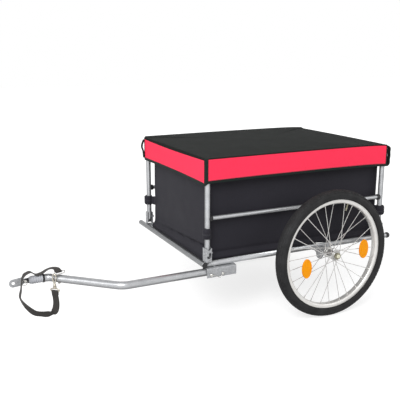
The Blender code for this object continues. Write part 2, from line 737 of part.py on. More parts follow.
def box_cloth(look, datum):
    """The floor, and the two end cloths that fold down with the sides."""
    floor = block((-FLOOR_X, -FLOOR_Y, FLOOR_LOW), (FLOOR_X, FLOOR_Y, FLOOR_HIGH))
    add("bag_floor", floor, look.cloth, datum)
    for end in SIDES:
        low = (-CLOTH / 2, -END_CLOTH_Y, END_CLOTH_LOW)
        high = (CLOTH / 2, END_CLOTH_Y, END_CLOTH_HIGH)
        add(f"{end_name(end)}_cloth", block(low, high), look.cloth, datum, (end * END_CLOTH_X, 0, 0))


def cover_ring(inset, height):
    corner = max(COVER_CORNER - inset, COVER_EDGE)
    return [(x, y, height) for x, y in rounded_box(COVER_X - inset, COVER_Y - inset, corner, 4)]


def cover(look, datum):
    """The fitted cover: a tray open below, with rounded corners and a slightly crowned top."""
    top = COVER_HIGH - COVER_CROWN
    inner_top = top - COVER_SHEET
    rings = (cover_ring(CROWN_INSET, COVER_HIGH - COVER_SHEET),
             cover_ring(COVER_SHEET + COVER_EDGE, inner_top),
             cover_ring(COVER_SHEET, inner_top - COVER_EDGE / 2), cover_ring(COVER_SHEET, COVER_LOW),
             cover_ring(0, COVER_LOW), cover_ring(0, top - COVER_EDGE), cover_ring(COVER_EDGE, top),
             cover_ring(CROWN_INSET, COVER_HIGH))
    add("cover", loft(rings), look.red, datum)


def tyre_profile():
    """A C section, open to the rim: outer and inner walls on one centre, joined by the two beads."""
    crown = WHEEL_R - TYRE_SECTION_R
    seat = RIM_BED_R + BEAD_SEAT
    edge = RIM_R + BEAD_SEAT
    profile = arc((0, crown), TYRE_SECTION_R, 90 - TYRE_OUTER_SWEEP, 90 + TYRE_OUTER_SWEEP, TYRE_OUTER_STEPS)
    profile += [(-BEAD_OUT, edge), (-BEAD_OUT, seat), (-BEAD_IN, seat)]
    profile += arc((0, crown), TYRE_INSIDE_R, 90 + TYRE_INNER_SWEEP, 90 - TYRE_INNER_SWEEP, TYRE_INNER_STEPS)
    return profile + [(BEAD_IN, seat), (BEAD_OUT, seat), (BEAD_OUT, edge)]


def rim_profile():
    """Two upright flanges on a bed, over a body that narrows to the spoke face."""
    wall = RIM_HALF - RIM_FLANGE
    half = [(RIM_HALF, RIM_R), (wall, RIM_R), (wall, RIM_BED_R)]
    foot = [(-RIM_HALF, RIM_SHOULDER_R), (-RIM_INNER_HALF, RIM_INNER_R)]
    return half + [(-a, r) for a, r in reversed(half)] + foot + [(-a, r) for a, r in reversed(foot)]


def hub_profile():
    """Barrel, two spoke flanges and the outer locknut, bored right through."""
    low = SPOKE_HUB_OUT - HUB_FLANGE / 2
    high = SPOKE_HUB_OUT + HUB_FLANGE / 2
    return ((HUB_INNER, HUB_BORE_R), (HUB_INNER, HUB_END_R), (-high, HUB_BARREL_R), (-high, HUB_FLANGE_R),
            (-low, HUB_FLANGE_R), (-HUB_SHOULDER, HUB_BARREL_R), (HUB_SHOULDER, HUB_BARREL_R),
            (low, HUB_FLANGE_R), (high, HUB_FLANGE_R), (high, HUB_NUT_R), (HUB_OUTER, HUB_NUT_R),
            (HUB_OUTER, HUB_BORE_R))


def spokes():
    """All spokes as separate four-sided bars, laced in crossing pairs from both hub flanges to the rim."""
    rim_end_r = RIM_INNER_R * math.cos(math.pi / WHEEL_STEPS) - 2 * GAP
    body = bmesh.new()
    for number in range(SPOKES):
        flange = 1 if number % 2 == 0 else -1
        lacing = 1 if number // 2 % 2 == 0 else -1
        angle = FULL_TURN * number / SPOKES
        shift = lacing * SPOKE_STAGGER
        hub_end = around("Y", angle + lacing * SPOKE_LACING, SPOKE_HUB_R, flange * SPOKE_HUB_OUT + shift)
        rim_end = around("Y", angle, rim_end_r, flange * SPOKE_RIM_OUT + shift)
        loft(swept([Vector(hub_end), Vector(rim_end)], SPOKE_R, 4, Vector((0, 1, 0))), body=body)
    return body


def stub_axle():
    """The quick-release axle: a shaft with a rounded lead, a head, and a blind bore for its button."""
    recess_r = BUTTON_R + GAP
    profile = ((AXLE_INNER, AXLE_R - AXLE_LEAD), (AXLE_INNER + AXLE_LEAD, AXLE_R), (AXLE_HEAD_LOW, AXLE_R),
               (AXLE_HEAD_LOW, AXLE_HEAD_R), (AXLE_HEAD_HIGH - AXLE_LEAD, AXLE_HEAD_R),
               (AXLE_HEAD_HIGH, AXLE_HEAD_R - AXLE_LEAD), (AXLE_HEAD_HIGH, recess_r), (AXLE_RECESS, recess_r),
               (AXLE_RECESS, BUTTON_BORE_R), (AXLE_BORE_END, BUTTON_BORE_R))
    return turned(profile, "Y", TUBE_SIDES)


def axle_button():
    profile = ((BUTTON_STEM_END, BUTTON_STEM_R), (BUTTON_LOW, BUTTON_STEM_R), (BUTTON_LOW, BUTTON_R),
               (BUTTON_HIGH - BUTTON_EDGE, BUTTON_R), (BUTTON_HIGH, BUTTON_R - BUTTON_EDGE))
    return turned(profile, "Y", TUBE_SIDES)


def reflector(x, z):
    """An oval reflector with a bevelled face, standing beside the spokes."""
    rings = []
    for level, inset in ((REFLECTOR_LOW, REFLECTOR_RIM), (REFLECTOR_LOW + REFLECTOR_RIM, 0),
                         (REFLECTOR_HIGH - REFLECTOR_RIM, 0), (REFLECTOR_HIGH, 2 * REFLECTOR_RIM)):
        wide = REFLECTOR_HALF_WIDE - inset
        tall = REFLECTOR_HALF_TALL - inset
        angles = [FULL_TURN * i / REFLECTOR_SIDES for i in range(REFLECTOR_SIDES)]
        rings.append([(x + wide * math.cos(a), level, z + tall * math.sin(a)) for a in angles])
    return loft(rings)


def wheel(look, datum, side):
    """One wheel on its axle line; the left one is turned about, so that its +Y also points outwards."""
    name = side_name(side)
    line = empty(f"{name}_axle_line", (WHEEL_X, side * WHEEL_Y, WHEEL_R), datum, 0 if side > 0 else math.pi)
    add(f"{name}_tyre", turned(tyre_profile(), "Y", WHEEL_STEPS, True), look.rubber, line)
    add(f"{name}_rim", turned(rim_profile(), "Y", WHEEL_STEPS, True), look.alloy, line)
    hub = add(f"{name}_hub_and_spokes", turned(hub_profile(), "Y", HUB_STEPS, True), look.bright, line)
    fuse(hub, helper(f"{name}_spokes", spokes(), line))
    for letter, (x, z) in zip("ab", REFLECTORS):
        add(f"{name}_reflector_{letter}", reflector(x, z), look.amber, line)
    add(f"{name}_axle", stub_axle(), look.dark, line)
    add(f"{name}_axle_button", axle_button(), look.cream, line)


def tow_bracket(look, datum):
    """The inverted channel under the base tube, on two spacers, with cross holes for its bolt and pin."""
    section = u_section(CHANNEL_HALF, CHANNEL_HIGH, CHANNEL_LOW, CHANNEL_SHEET)
    body = prism(section, "X", CHANNEL_FRONT_X, CHANNEL_REAR_X)
    bracket = add("tow_bracket", body, look.sheet, datum, (0, TOW_Y, 0))
    for number, x in enumerate(CHANNEL_SPACERS):
        spacer = rod("Z", SPACER_R, CHANNEL_HIGH - CHANNEL_SHEET / 2, BASE_Z - BASE_R - GAP)
        fuse(bracket, helper(f"tow_spacer_{number}", spacer, datum, (x, -POST_Y, 0)))
    for number, x in enumerate((LOCK_PIN_X, STOP_BOLT_X)):
        hole = rod("Y", CROSS_HOLE_R, -2 * CHANNEL_HALF, 2 * CHANNEL_HALF)
        cut(bracket, helper(f"tow_cross_hole_{number}", hole, datum, (x, TOW_Y, CROSS_PIN_Z)))


def stop_bolt(look, datum):
    """The bolt across the bracket, behind the end of the tow bar."""
    face = CHANNEL_HALF + GAP
    profile = ((-face - STOP_HEAD, CROSS_PIN_R), (-face - STOP_HEAD / 2, STOP_HEAD_R), (-face, STOP_HEAD_R),
               (-face, CROSS_PIN_R), (face, CROSS_PIN_R), (face, STOP_HEAD_R), (face + STOP_NUT, STOP_HEAD_R),
               (face + STOP_NUT, CROSS_PIN_R), (face + STOP_END, CROSS_PIN_R))
    body = turned(profile, "Y", BOLT_SIDES)
    add("tow_stop_bolt", body, look.bright, datum, (STOP_BOLT_X, TOW_Y, CROSS_PIN_Z))


def lock_pin(look, datum):
    """The pull pin that locks the tow bar, with its wire clip on the head."""
    face = CHANNEL_HALF + GAP
    middle = -face - LOCK_HEAD / 2
    profile = ((-face - LOCK_HEAD, LOCK_HEAD_R - LOCK_HEAD_EDGE), (middle, LOCK_HEAD_R), (-face, LOCK_HEAD_R),
               (-face, CROSS_PIN_R), (LOCK_END - PIN_LEAD, CROSS_PIN_R), (LOCK_END, CROSS_PIN_R / 2))
    place = (LOCK_PIN_X, TOW_Y, CROSS_PIN_Z)
    pin = add("tow_lock_pin", turned(profile, "Y", BOLT_SIDES), look.bright, datum, place)
    clip = bent_path(upright(CLIP_POINTS, middle), (CLIP_CORNER,))
    fuse(pin, helper("lock_clip", wire(clip, CLIP_R, Vector((0, 1, 0))), datum, place))


def tow_bar(look, tow):
    """The bent bar: a hole for the ring's stem, and a rear end forked for the lock pin."""
    corners = ((TOW_REAR_X, TOW_Y, 0), (TOW_BEND_X, TOW_Y, 0), (TOW_FRONT_BEND_X, HITCH_Y, 0),
               (TOW_FRONT_X, HITCH_Y, 0))
    path = bent_path(corners, (TOW_BEND_R, TOW_FRONT_BEND_R))
    up = Vector((0, 0, 1))
    outside = swept(path, TOW_R, TUBE_SIDES, up)
    inside = swept(path, TOW_R - TOW_WALL, TUBE_SIDES, up)
    bar = add("tow_bar", loft(outside + inside[::-1], True), look.tube, tow)
    fork = arc((LOCK_PIN_X, 0), CROSS_HOLE_R, 90, 270, 6)
    fork += [(TOW_REAR_X + TOW_R, -CROSS_HOLE_R), (TOW_REAR_X + TOW_R, CROSS_HOLE_R)]
    slot = prism(fork, "Y", -2 * TOW_R, 2 * TOW_R)
    cut(bar, helper("tow_bar_fork", slot, tow, (0, TOW_Y, CROSS_PIN_Z - TOW_Z)))
    cut(bar, helper("ring_hole", rod("Z", RING_HOLE_R, -2 * TOW_R, 2 * TOW_R), tow, (RING_X, RING_Y, 0)))


def rubber_profile():
    """The stem in the bar, a ribbed body and a taper to the clevis."""
    profile = [(STEM_TIP_X, STEM_TIP_R), (STEM_SHOULDER_X, STEM_R), (RUBBER_REAR_X, STEM_R)]
    pitch = (RUBBER_TAPER_X - RUBBER_REAR_X) / RUBBER_RIBS
    for number in range(RUBBER_RIBS):
        start = RUBBER_REAR_X + number * pitch
        end = start + pitch * RIB_SHARE
        profile += [(start, RUBBER_R), (end, RUBBER_R), (end, RUBBER_R - RIB_DEPTH)]
        profile += [(start + pitch, RUBBER_R - RIB_DEPTH)]
    return profile + [(RUBBER_FRONT_X, RUBBER_TIP_R)]


def rubber_joint(look, tow):
    """The collar on the bar's end, and the rubber joint that lets the hitch bend and twist."""
    rear = TOW_FRONT_X - COLLAR_GAP
    collar = pipe("X", COLLAR_R, STEM_R + GAP, rear - COLLAR_LENGTH, rear, 20)
    add("tow_collar", collar, look.plastic, tow, (0, HITCH_Y, 0))
    add("rubber_joint", turned(rubber_profile(), "X", TUBE_SIDES), look.grey, tow, (0, HITCH_Y, 0))


def clevis(look, pivot):
    """The fork at the joint's front: a round foot and two ears, bored for the hitch pin."""
    foot = RUBBER_FRONT_X - GAP - CLEVIS_PIN_X
    fork = add("clevis", rod("X", CLEVIS_DISC_R, CLEVIS_DISC_LOW, foot, TUBE_SIDES), look.dark, pivot)
    inside = (CLEVIS_DISC_LOW + foot) / 2
    outline = arc((0, 0), CLEVIS_EAR_R, 90, 270, 8) + [(inside, -CLEVIS_EAR_R), (inside, CLEVIS_EAR_R)]
    for side in SIDES:
        ear = prism(outline, "Y", side * CLEVIS_EAR_GAP, side * (CLEVIS_EAR_GAP + CLEVIS_EAR))
        fuse(fork, helper(f"{side_name(side)}_ear", ear, pivot))
    cut(fork, helper("ear_bore", rod("Y", HITCH_HOLE_R, -CLEVIS_DISC_R, CLEVIS_DISC_R), pivot))


def hitch_plate(look, pivot):
    """The plate for the bicycle's axle: a knuckle in the clevis, and an eyelet in its round front."""
    eye = (EYELET_AHEAD, -EYELET_DROP)
    outline = arc((0, 0), KNUCKLE_R, -KNUCKLE_SWEEP, KNUCKLE_SWEEP, 8)
    outline += [(SHOULDER, PLATE_HIGH), *arc(eye, PLATE_HIGH, 90, 270, 12), (SHOULDER, -PLATE_HIGH)]
    plate = add("hitch_plate", prism(outline, "Y", -PLATE_HALF, PLATE_HALF), look.sheet, pivot)
    cut(plate, helper("plate_bore", rod("Y", HITCH_HOLE_R, -2 * PLATE_HALF, 2 * PLATE_HALF), pivot))
    eyelet = rod("Y", EYELET_R, -2 * PLATE_HALF, 2 * PLATE_HALF, TUBE_SIDES)
    cut(plate, helper("eyelet_bore", eyelet, pivot, (eye[0], 0, eye[1])))


def hitch_pin(look, pivot):
    """The pin through clevis and plate, with a wire ring through its head."""
    profile = ((HITCH_HEAD_HIGH, HITCH_PIN_R), (HITCH_HEAD_HIGH + GAP, HITCH_HEAD_R),
               (HITCH_HEAD_LOW, HITCH_HEAD_R), (HITCH_HEAD_LOW, HITCH_PIN_R),
               (HITCH_PIN_END - PIN_LEAD, HITCH_PIN_R),
               (HITCH_PIN_END, HITCH_PIN_R / 2))
    pin = add("hitch_pin", turned(profile, "Y", BOLT_SIDES), look.bright, pivot)
    circle = arc((PIN_RING_AHEAD, -PIN_RING_DROP), PIN_RING_R, 0, 360, PIN_RING_STEPS)[:-1]
    ring = wire(upright(circle, PIN_RING_OUT), PIN_RING_WIRE_R, Vector((0, 1, 0)), closed=True)
    fuse(pin, helper("pin_ring", ring, pivot))


def strap_ring(look, ring_line):
    """A wide low ring on a stem through the bar, held by a nut below."""
    low = TOW_R + GAP + RING_WIRE_R
    profile = ((RING_STEM_END, RING_STEM_R), (RING_NUT_LOW, RING_STEM_R), (RING_NUT_LOW, RING_NUT_R),
               (RING_NUT_HIGH, RING_NUT_R), (RING_NUT_HIGH, RING_STEM_R), (low, RING_STEM_R))
    stem = add("strap_ring", turned(profile, "Z", 8), look.bright, ring_line)
    outline = [(x, low + RING_RISE / 2 + z) for x, z in rounded_box(RING_HALF, RING_RISE / 2, RING_CORNER)]
    loop = wire(upright(outline), RING_WIRE_R, Vector((0, 1, 0)), closed=True)
    fuse(stem, helper("ring_loop", loop, ring_line))


def hook_line_place():
    """The middle of the hook's bow: beside the bar, with the bow resting on the ring's lower wire."""
    ahead = Vector((TOW_FRONT_BEND_X - TOW_BEND_X, HITCH_Y - TOW_Y)).normalized()
    outwards = Vector((-ahead.y, ahead.x))
    place = Vector((RING_X, RING_Y)) + ahead * HOOK_AHEAD + outwards * HOOK_OUT
    height = TOW_R + 2 * GAP + 2 * RING_WIRE_R + HOOK_WIRE_R - HOOK_BOW_R
    return (place.x, place.y, height), math.atan2(ahead.y, ahead.x)


def hook_eye():
    """The hook's webbing eye: a flat-bottomed loop under the barrel."""
    right = [(EYE_NECK, EYE_TOP), EYE_SHOULDER]
    right += arc((EYE_HALF - EYE_CORNER, EYE_LOW + EYE_CORNER), EYE_CORNER, 0, -90, 3)
    outline = right + [(-x, z) for x, z in reversed(right)]
    return wire(upright(outline), HOOK_WIRE_R, Vector((0, 1, 0)), closed=True)


def snap_hook(look, line):
    """A snap hook: bow and spine, a barrel, a webbing eye below, and a sprung gate across the mouth."""
    up = Vector((0, 1, 0))
    bow = [(-HOOK_BOW_R, HOOK_NOSE), *arc((0, 0), HOOK_BOW_R, 180, 0, 8), *HOOK_SPINE]
    hook = add("snap_hook", wire(upright(bow), HOOK_WIRE_R, up), look.bright, line)
    fuse(hook, helper("hook_barrel", turned(HOOK_BARREL, "Z", 10), line))
    fuse(hook, helper("hook_eye", hook_eye(), line))
    cheek = ((0, HOOK_CHEEK), (GATE_PIVOT[0] + GAP, GATE_PIVOT[1] - GAP))
    fuse(hook, helper("hook_cheek", wire(upright(cheek), HOOK_WIRE_R, up), line))
    rise = Vector((GATE_TOP[0] - GATE_PIVOT[0], 0, GATE_TOP[1] - GATE_PIVOT[1]))
    gate = wire([rise.normalized() * GATE_LIFT, rise], GATE_R, up)
    add("hook_gate", gate, look.bright, line, (GATE_PIVOT[0], 0, GATE_PIVOT[1]))


def lap(centre, heading, width_heading, points):
    """Guides of a strap's end lapped round a bar, from points along the heading and up from the bar."""
    along = Vector((math.cos(heading), math.sin(heading)))
    guides = []
    for run, height in points:
        x = centre[0] + along.x * run
        y = centre[1] + along.y * run
        guides.append((x, y, centre[2] + height, width_heading, 0))
    return guides


def safety_strap(look, tow):
    """Webbing from the strap ring, over the joint and round the hitch, to the hook's eye."""
    ring_width = math.degrees(RING_TURN)
    ring_top = (RING_X, RING_Y, TOW_Z + TOW_R + GAP + RING_WIRE_R + RING_RISE)
    round_ring = [*RING_LAP_START, *arc((0, 0), STRAP_LAP, -60, -290, 6), *RING_LAP_END]
    start = lap(ring_top, RING_TURN + math.pi / 2, ring_width, round_ring)
    (x, y, z), turn = hook_line_place()
    eye_bar = (x, y, TOW_Z + z + EYE_LOW)
    round_eye = [*EYE_LAP_START, *arc((0, 0), STRAP_LAP + GAP, 0, 180, 5), *EYE_LAP_END]
    end = lap(eye_bar, turn + math.pi / 2, math.degrees(turn), round_eye)
    path = smooth_path([*start, *STRAP_OVER, *STRAP_DOWN, *STRAP_BACK, *end], STRAP_STEP)
    places = [point.to_3d() for point in path]
    rings = []
    for point, place, ahead in zip(path, places, directions(places)):
        heading = math.radians(point[3])
        across = Vector((math.cos(heading), math.sin(heading), 0))
        across = (across - ahead * across.dot(ahead)).normalized()
        edge = Matrix.Rotation(math.radians(point[4]), 3, ahead) @ across * STRAP_HALF
        face = edge.normalized().cross(ahead) * STRAP_THICK / 2
        rings.append([place + edge + face, place - edge + face, place - edge - face, place + edge - face])
    add("safety_strap", loft(rings), look.webbing, tow, (0, 0, -TOW_Z))


def tow_gear(look, datum):
    """Everything that comes away with the tow bar, placed from the bar's own height."""
    tow = empty("tow_line", (0, 0, TOW_Z), datum)
    tow_bar(look, tow)
    rubber_joint(look, tow)
    pivot = empty("hitch_pivot", (CLEVIS_PIN_X, HITCH_Y, 0), tow)
    clevis(look, pivot)
    hitch_plate(look, pivot)
    hitch_pin(look, pivot)
    strap_ring(look, empty("ring_line", (RING_X, RING_Y, 0), tow, RING_TURN))
    place, turn = hook_line_place()
    snap_hook(look, empty("hook_line", place, tow, turn))
    safety_strap(look, tow)


def main():
    clear_scene()
    look = Finishes()
    datum = empty("datum", (DATUM_X, 0, 0))
    base_frame(look, datum)
    for side in SIDES:
        axle_plate(look, datum, side)
        for end in SIDES:
            post_bracket(look, datum, side, end)
        side_frame(look, datum, side)
        wheel(look, datum, side)
    box_cloth(look, datum)
    cover(look, datum)
    tow_bracket(look, datum)
    stop_bolt(look, datum)
    lock_pin(look, datum)
    tow_gear(look, datum)


main()
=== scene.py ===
"""Bicycle cargo trailer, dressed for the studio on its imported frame.

Brushed tubes and zinc plated sheet, laced wheels, a sewn fabric box, its fitted cover and the tow
gear with its webbing strap. Lengths are metres and +Z is up. The hitch points to -X, and the tow
bar is on the -Y side. Pieces are laid out from the point on the ground between the four corner
posts, and DATUM then moves them to the frame's own origin. A profile is a row of points (way along
an axis, distance from it), and a skin is a mesh in the making.
"""

import logging
import math
from dataclasses import dataclass
from enum import Enum, IntEnum
from itertools import accumulate
from typing import Iterator, Sequence

import bmesh
import bpy
from mathutils import Matrix, Vector, noise


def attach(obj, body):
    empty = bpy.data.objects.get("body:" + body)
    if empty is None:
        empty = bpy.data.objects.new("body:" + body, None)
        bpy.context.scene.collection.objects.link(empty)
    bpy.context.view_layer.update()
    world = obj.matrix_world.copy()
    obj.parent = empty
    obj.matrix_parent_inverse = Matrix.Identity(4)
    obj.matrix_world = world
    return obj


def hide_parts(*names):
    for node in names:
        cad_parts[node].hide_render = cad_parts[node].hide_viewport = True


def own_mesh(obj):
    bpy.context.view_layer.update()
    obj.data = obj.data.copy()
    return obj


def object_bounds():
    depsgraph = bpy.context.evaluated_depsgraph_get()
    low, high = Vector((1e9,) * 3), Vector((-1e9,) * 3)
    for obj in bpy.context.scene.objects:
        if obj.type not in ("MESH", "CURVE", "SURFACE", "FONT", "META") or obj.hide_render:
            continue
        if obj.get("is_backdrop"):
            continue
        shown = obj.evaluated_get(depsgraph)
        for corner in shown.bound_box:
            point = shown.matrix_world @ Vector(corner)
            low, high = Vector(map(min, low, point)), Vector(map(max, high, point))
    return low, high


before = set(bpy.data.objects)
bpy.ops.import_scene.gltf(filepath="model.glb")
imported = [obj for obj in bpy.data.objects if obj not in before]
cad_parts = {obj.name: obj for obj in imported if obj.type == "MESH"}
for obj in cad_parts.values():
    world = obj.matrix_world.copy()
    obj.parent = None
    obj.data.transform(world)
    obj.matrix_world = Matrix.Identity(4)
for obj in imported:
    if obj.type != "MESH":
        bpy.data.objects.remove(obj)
CAD_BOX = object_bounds()

LOG = logging.getLogger("trailer")
DATUM = Vector((0.30316575, 0.0, 0.0))
TURN = 2 * math.pi
X, Y, Z = Vector((1, 0, 0)), Vector((0, 1, 0)), Vector((0, 0, 1))
CORNERS = ((1, 1), (-1, 1), (-1, -1), (1, -1))
CRISP = 35.0

Colour = tuple[float, float, float]
Flat = tuple[float, float]
Spot = tuple[float, float, float]
Ring = list[Vector]
Piece = bpy.types.Object
Socket = bpy.types.NodeSocket


class Way(IntEnum):
    """A way along an axis, which names the pieces that lie there."""

    @property
    def label(self) -> str:
        """The word that those pieces' names hold."""
        return self.name.lower()


class Side(Way):
    """The ways along Y."""

    LEFT = -1
    RIGHT = 1


class End(Way):
    """The ways along X."""

    FRONT = -1
    REAR = 1


class Axis(Enum):
    """An axis, with where its points take X, Y and Z from (one way, other way, along)."""

    X = (2, 0, 1)
    Y = (0, 2, 1)
    Z = (0, 1, 2)

    def point(self, a: float, b: float, along: float) -> Vector:
        """Places a point by its two ways from the axis and its way along it."""
        return Vector([(a, b, along)[k] for k in self.value])

    def around(self, angle: float, radius: float, along: float) -> Vector:
        """Places a point by its angle in radians, its distance and its way along the axis."""
        return self.point(radius * math.cos(angle), radius * math.sin(angle), along)


def seen(red: float, green: float, blue: float) -> Colour:
    """Turns a colour as a screen shows it, each value from 0 to 255, into linear light."""
    shares = (red / 255, green / 255, blue / 255)
    return tuple(s / 12.92 if s <= 0.04045 else ((s + 0.055) / 1.055) ** 2.4 for s in shares)


def round_angles(steps: int) -> list[float]:
    """Even angles of a full turn, in radians."""
    return [TURN * i / steps for i in range(steps)]


def turned(angle: float) -> Vector:
    """The level direction at an angle in radians."""
    return Vector((math.cos(angle), math.sin(angle), 0))


def arc(centre: Flat, radius: float, start: float, end: float, steps: int) -> list[Flat]:
    """Points of a flat arc between two angles in degrees, one more than its steps."""
    angles = [math.radians(start + (end - start) * i / steps) for i in range(steps + 1)]
    return [(centre[0] + radius * math.cos(a), centre[1] + radius * math.sin(a)) for a in angles]


def mirrored(half: Sequence[Flat]) -> list[Flat]:
    """The other half of a profile, from its far end back."""
    return [(-along, r) for along, r in reversed(half)]


def upright(outline: Sequence[Flat], y: float = 0.0) -> Ring:
    """Stands flat (x, z) points up at one y."""
    return [Vector((a, y, b)) for a, b in outline]


def eased(share: float) -> float:
    """Eases a share in and out between 0 and 1, and holds it beyond them."""
    share = max(0.0, min(1.0, share))
    return share * share * (3 - 2 * share)


def bell(value: float, middle: float, width: float) -> float:
    """1 where a value is at the middle, falling away over the width."""
    return math.exp(-((value - middle) / width) ** 2)


def belly(across: float, half: float) -> float:
    """1 in the middle of a side, falling to 0 at its two ends."""
    return math.cos(math.pi * across / 2 / half)


def ripple(place: Vector, scale: float, seed: float) -> float:
    """A smooth unevenness from -1 to 1 that is the same in every run."""
    return noise.noise(place * scale + Vector((seed, 3.7 * seed, -1.9 * seed)))


def headings(path: Sequence[Vector], loop: bool = False) -> Ring:
    """The unit direction of a path at each of its points, across the join where it is a loop."""
    row = [path[-1], *path, path[0]] if loop else [path[0], *path, path[-1]]
    return [(after - before).normalized() for before, after in zip(row, row[2:])]


def bent_path(corners: Sequence[Vector], radii: Sequence[float], steps: int = 14) -> Ring:
    """Joins corner points with straight runs and rounds each inner corner.

    Args:
        corners: The corner points, ends included.
        radii: The bend radius of each inner corner.
        steps: Chords in each bend.

    Returns:
        The points of the bent line.
    """
    points = [corners[0].copy()]
    for before, corner, after, radius in zip(corners, corners[1:], corners[2:], radii):
        back, ahead = (before - corner).normalized(), (after - corner).normalized()
        half = back.angle(ahead) / 2
        centre = corner + (back + ahead).normalized() * radius / math.sin(half)
        start = corner + back * radius / math.tan(half) - centre
        end = corner + ahead * radius / math.tan(half) - centre
        for i in range(steps + 1):
            points.append(centre + start.slerp(end, i / steps).normalized() * radius)
    return [*points, corners[-1].copy()]


def flowing_path(guides: Sequence[Sequence[float]], step: float) -> list[Vector]:
    """Draws a smooth curve through guides of any number of values.

    Args:
        guides: The guides. Their first three values are a place.
        step: The wanted distance between points.

    Returns:
        Points with as many values as a guide has.
    """
    rows = [Vector(guide) for guide in guides]
    ends = [2 * rows[0] - rows[1], *rows, 2 * rows[-1] - rows[-2]]
    points = [rows[0]]
    for before, start, end, after in zip(ends, ends[1:], ends[2:], ends[3:]):
        count = max(1, round((end - start).to_3d().length / step))
        for i in range(1, count + 1):
            t = i / count
            bend = (2 * before - 5 * start + 4 * end - after) * t * t
            twist = (3 * start - before - 3 * end + after) * t * t * t
            points.append((2 * start + (end - before) * t + bend + twist) / 2)
    return points


def bar_rings(path: Sequence[Vector], radii: Sequence[float], up: Vector, sides: int,
              loop: bool = False) -> list[Ring]:
    """The round rings of a bar that runs along a path.

    Args:
        path: The bar's middle line.
        radii: Its radius at each point.
        up: A direction that the path never takes.
        sides: Points in each ring.
        loop: Whether the bar closes on itself.

    Returns:
        One ring for each point.
    """
    rings = []
    for point, ahead, size in zip(path, headings(path, loop), radii):
        side = ahead.cross(up).normalized()
        over = side.cross(ahead)
        rings.append([point + (side * math.cos(a) + over * math.sin(a)) * size
                      for a in round_angles(sides)])
    return rings


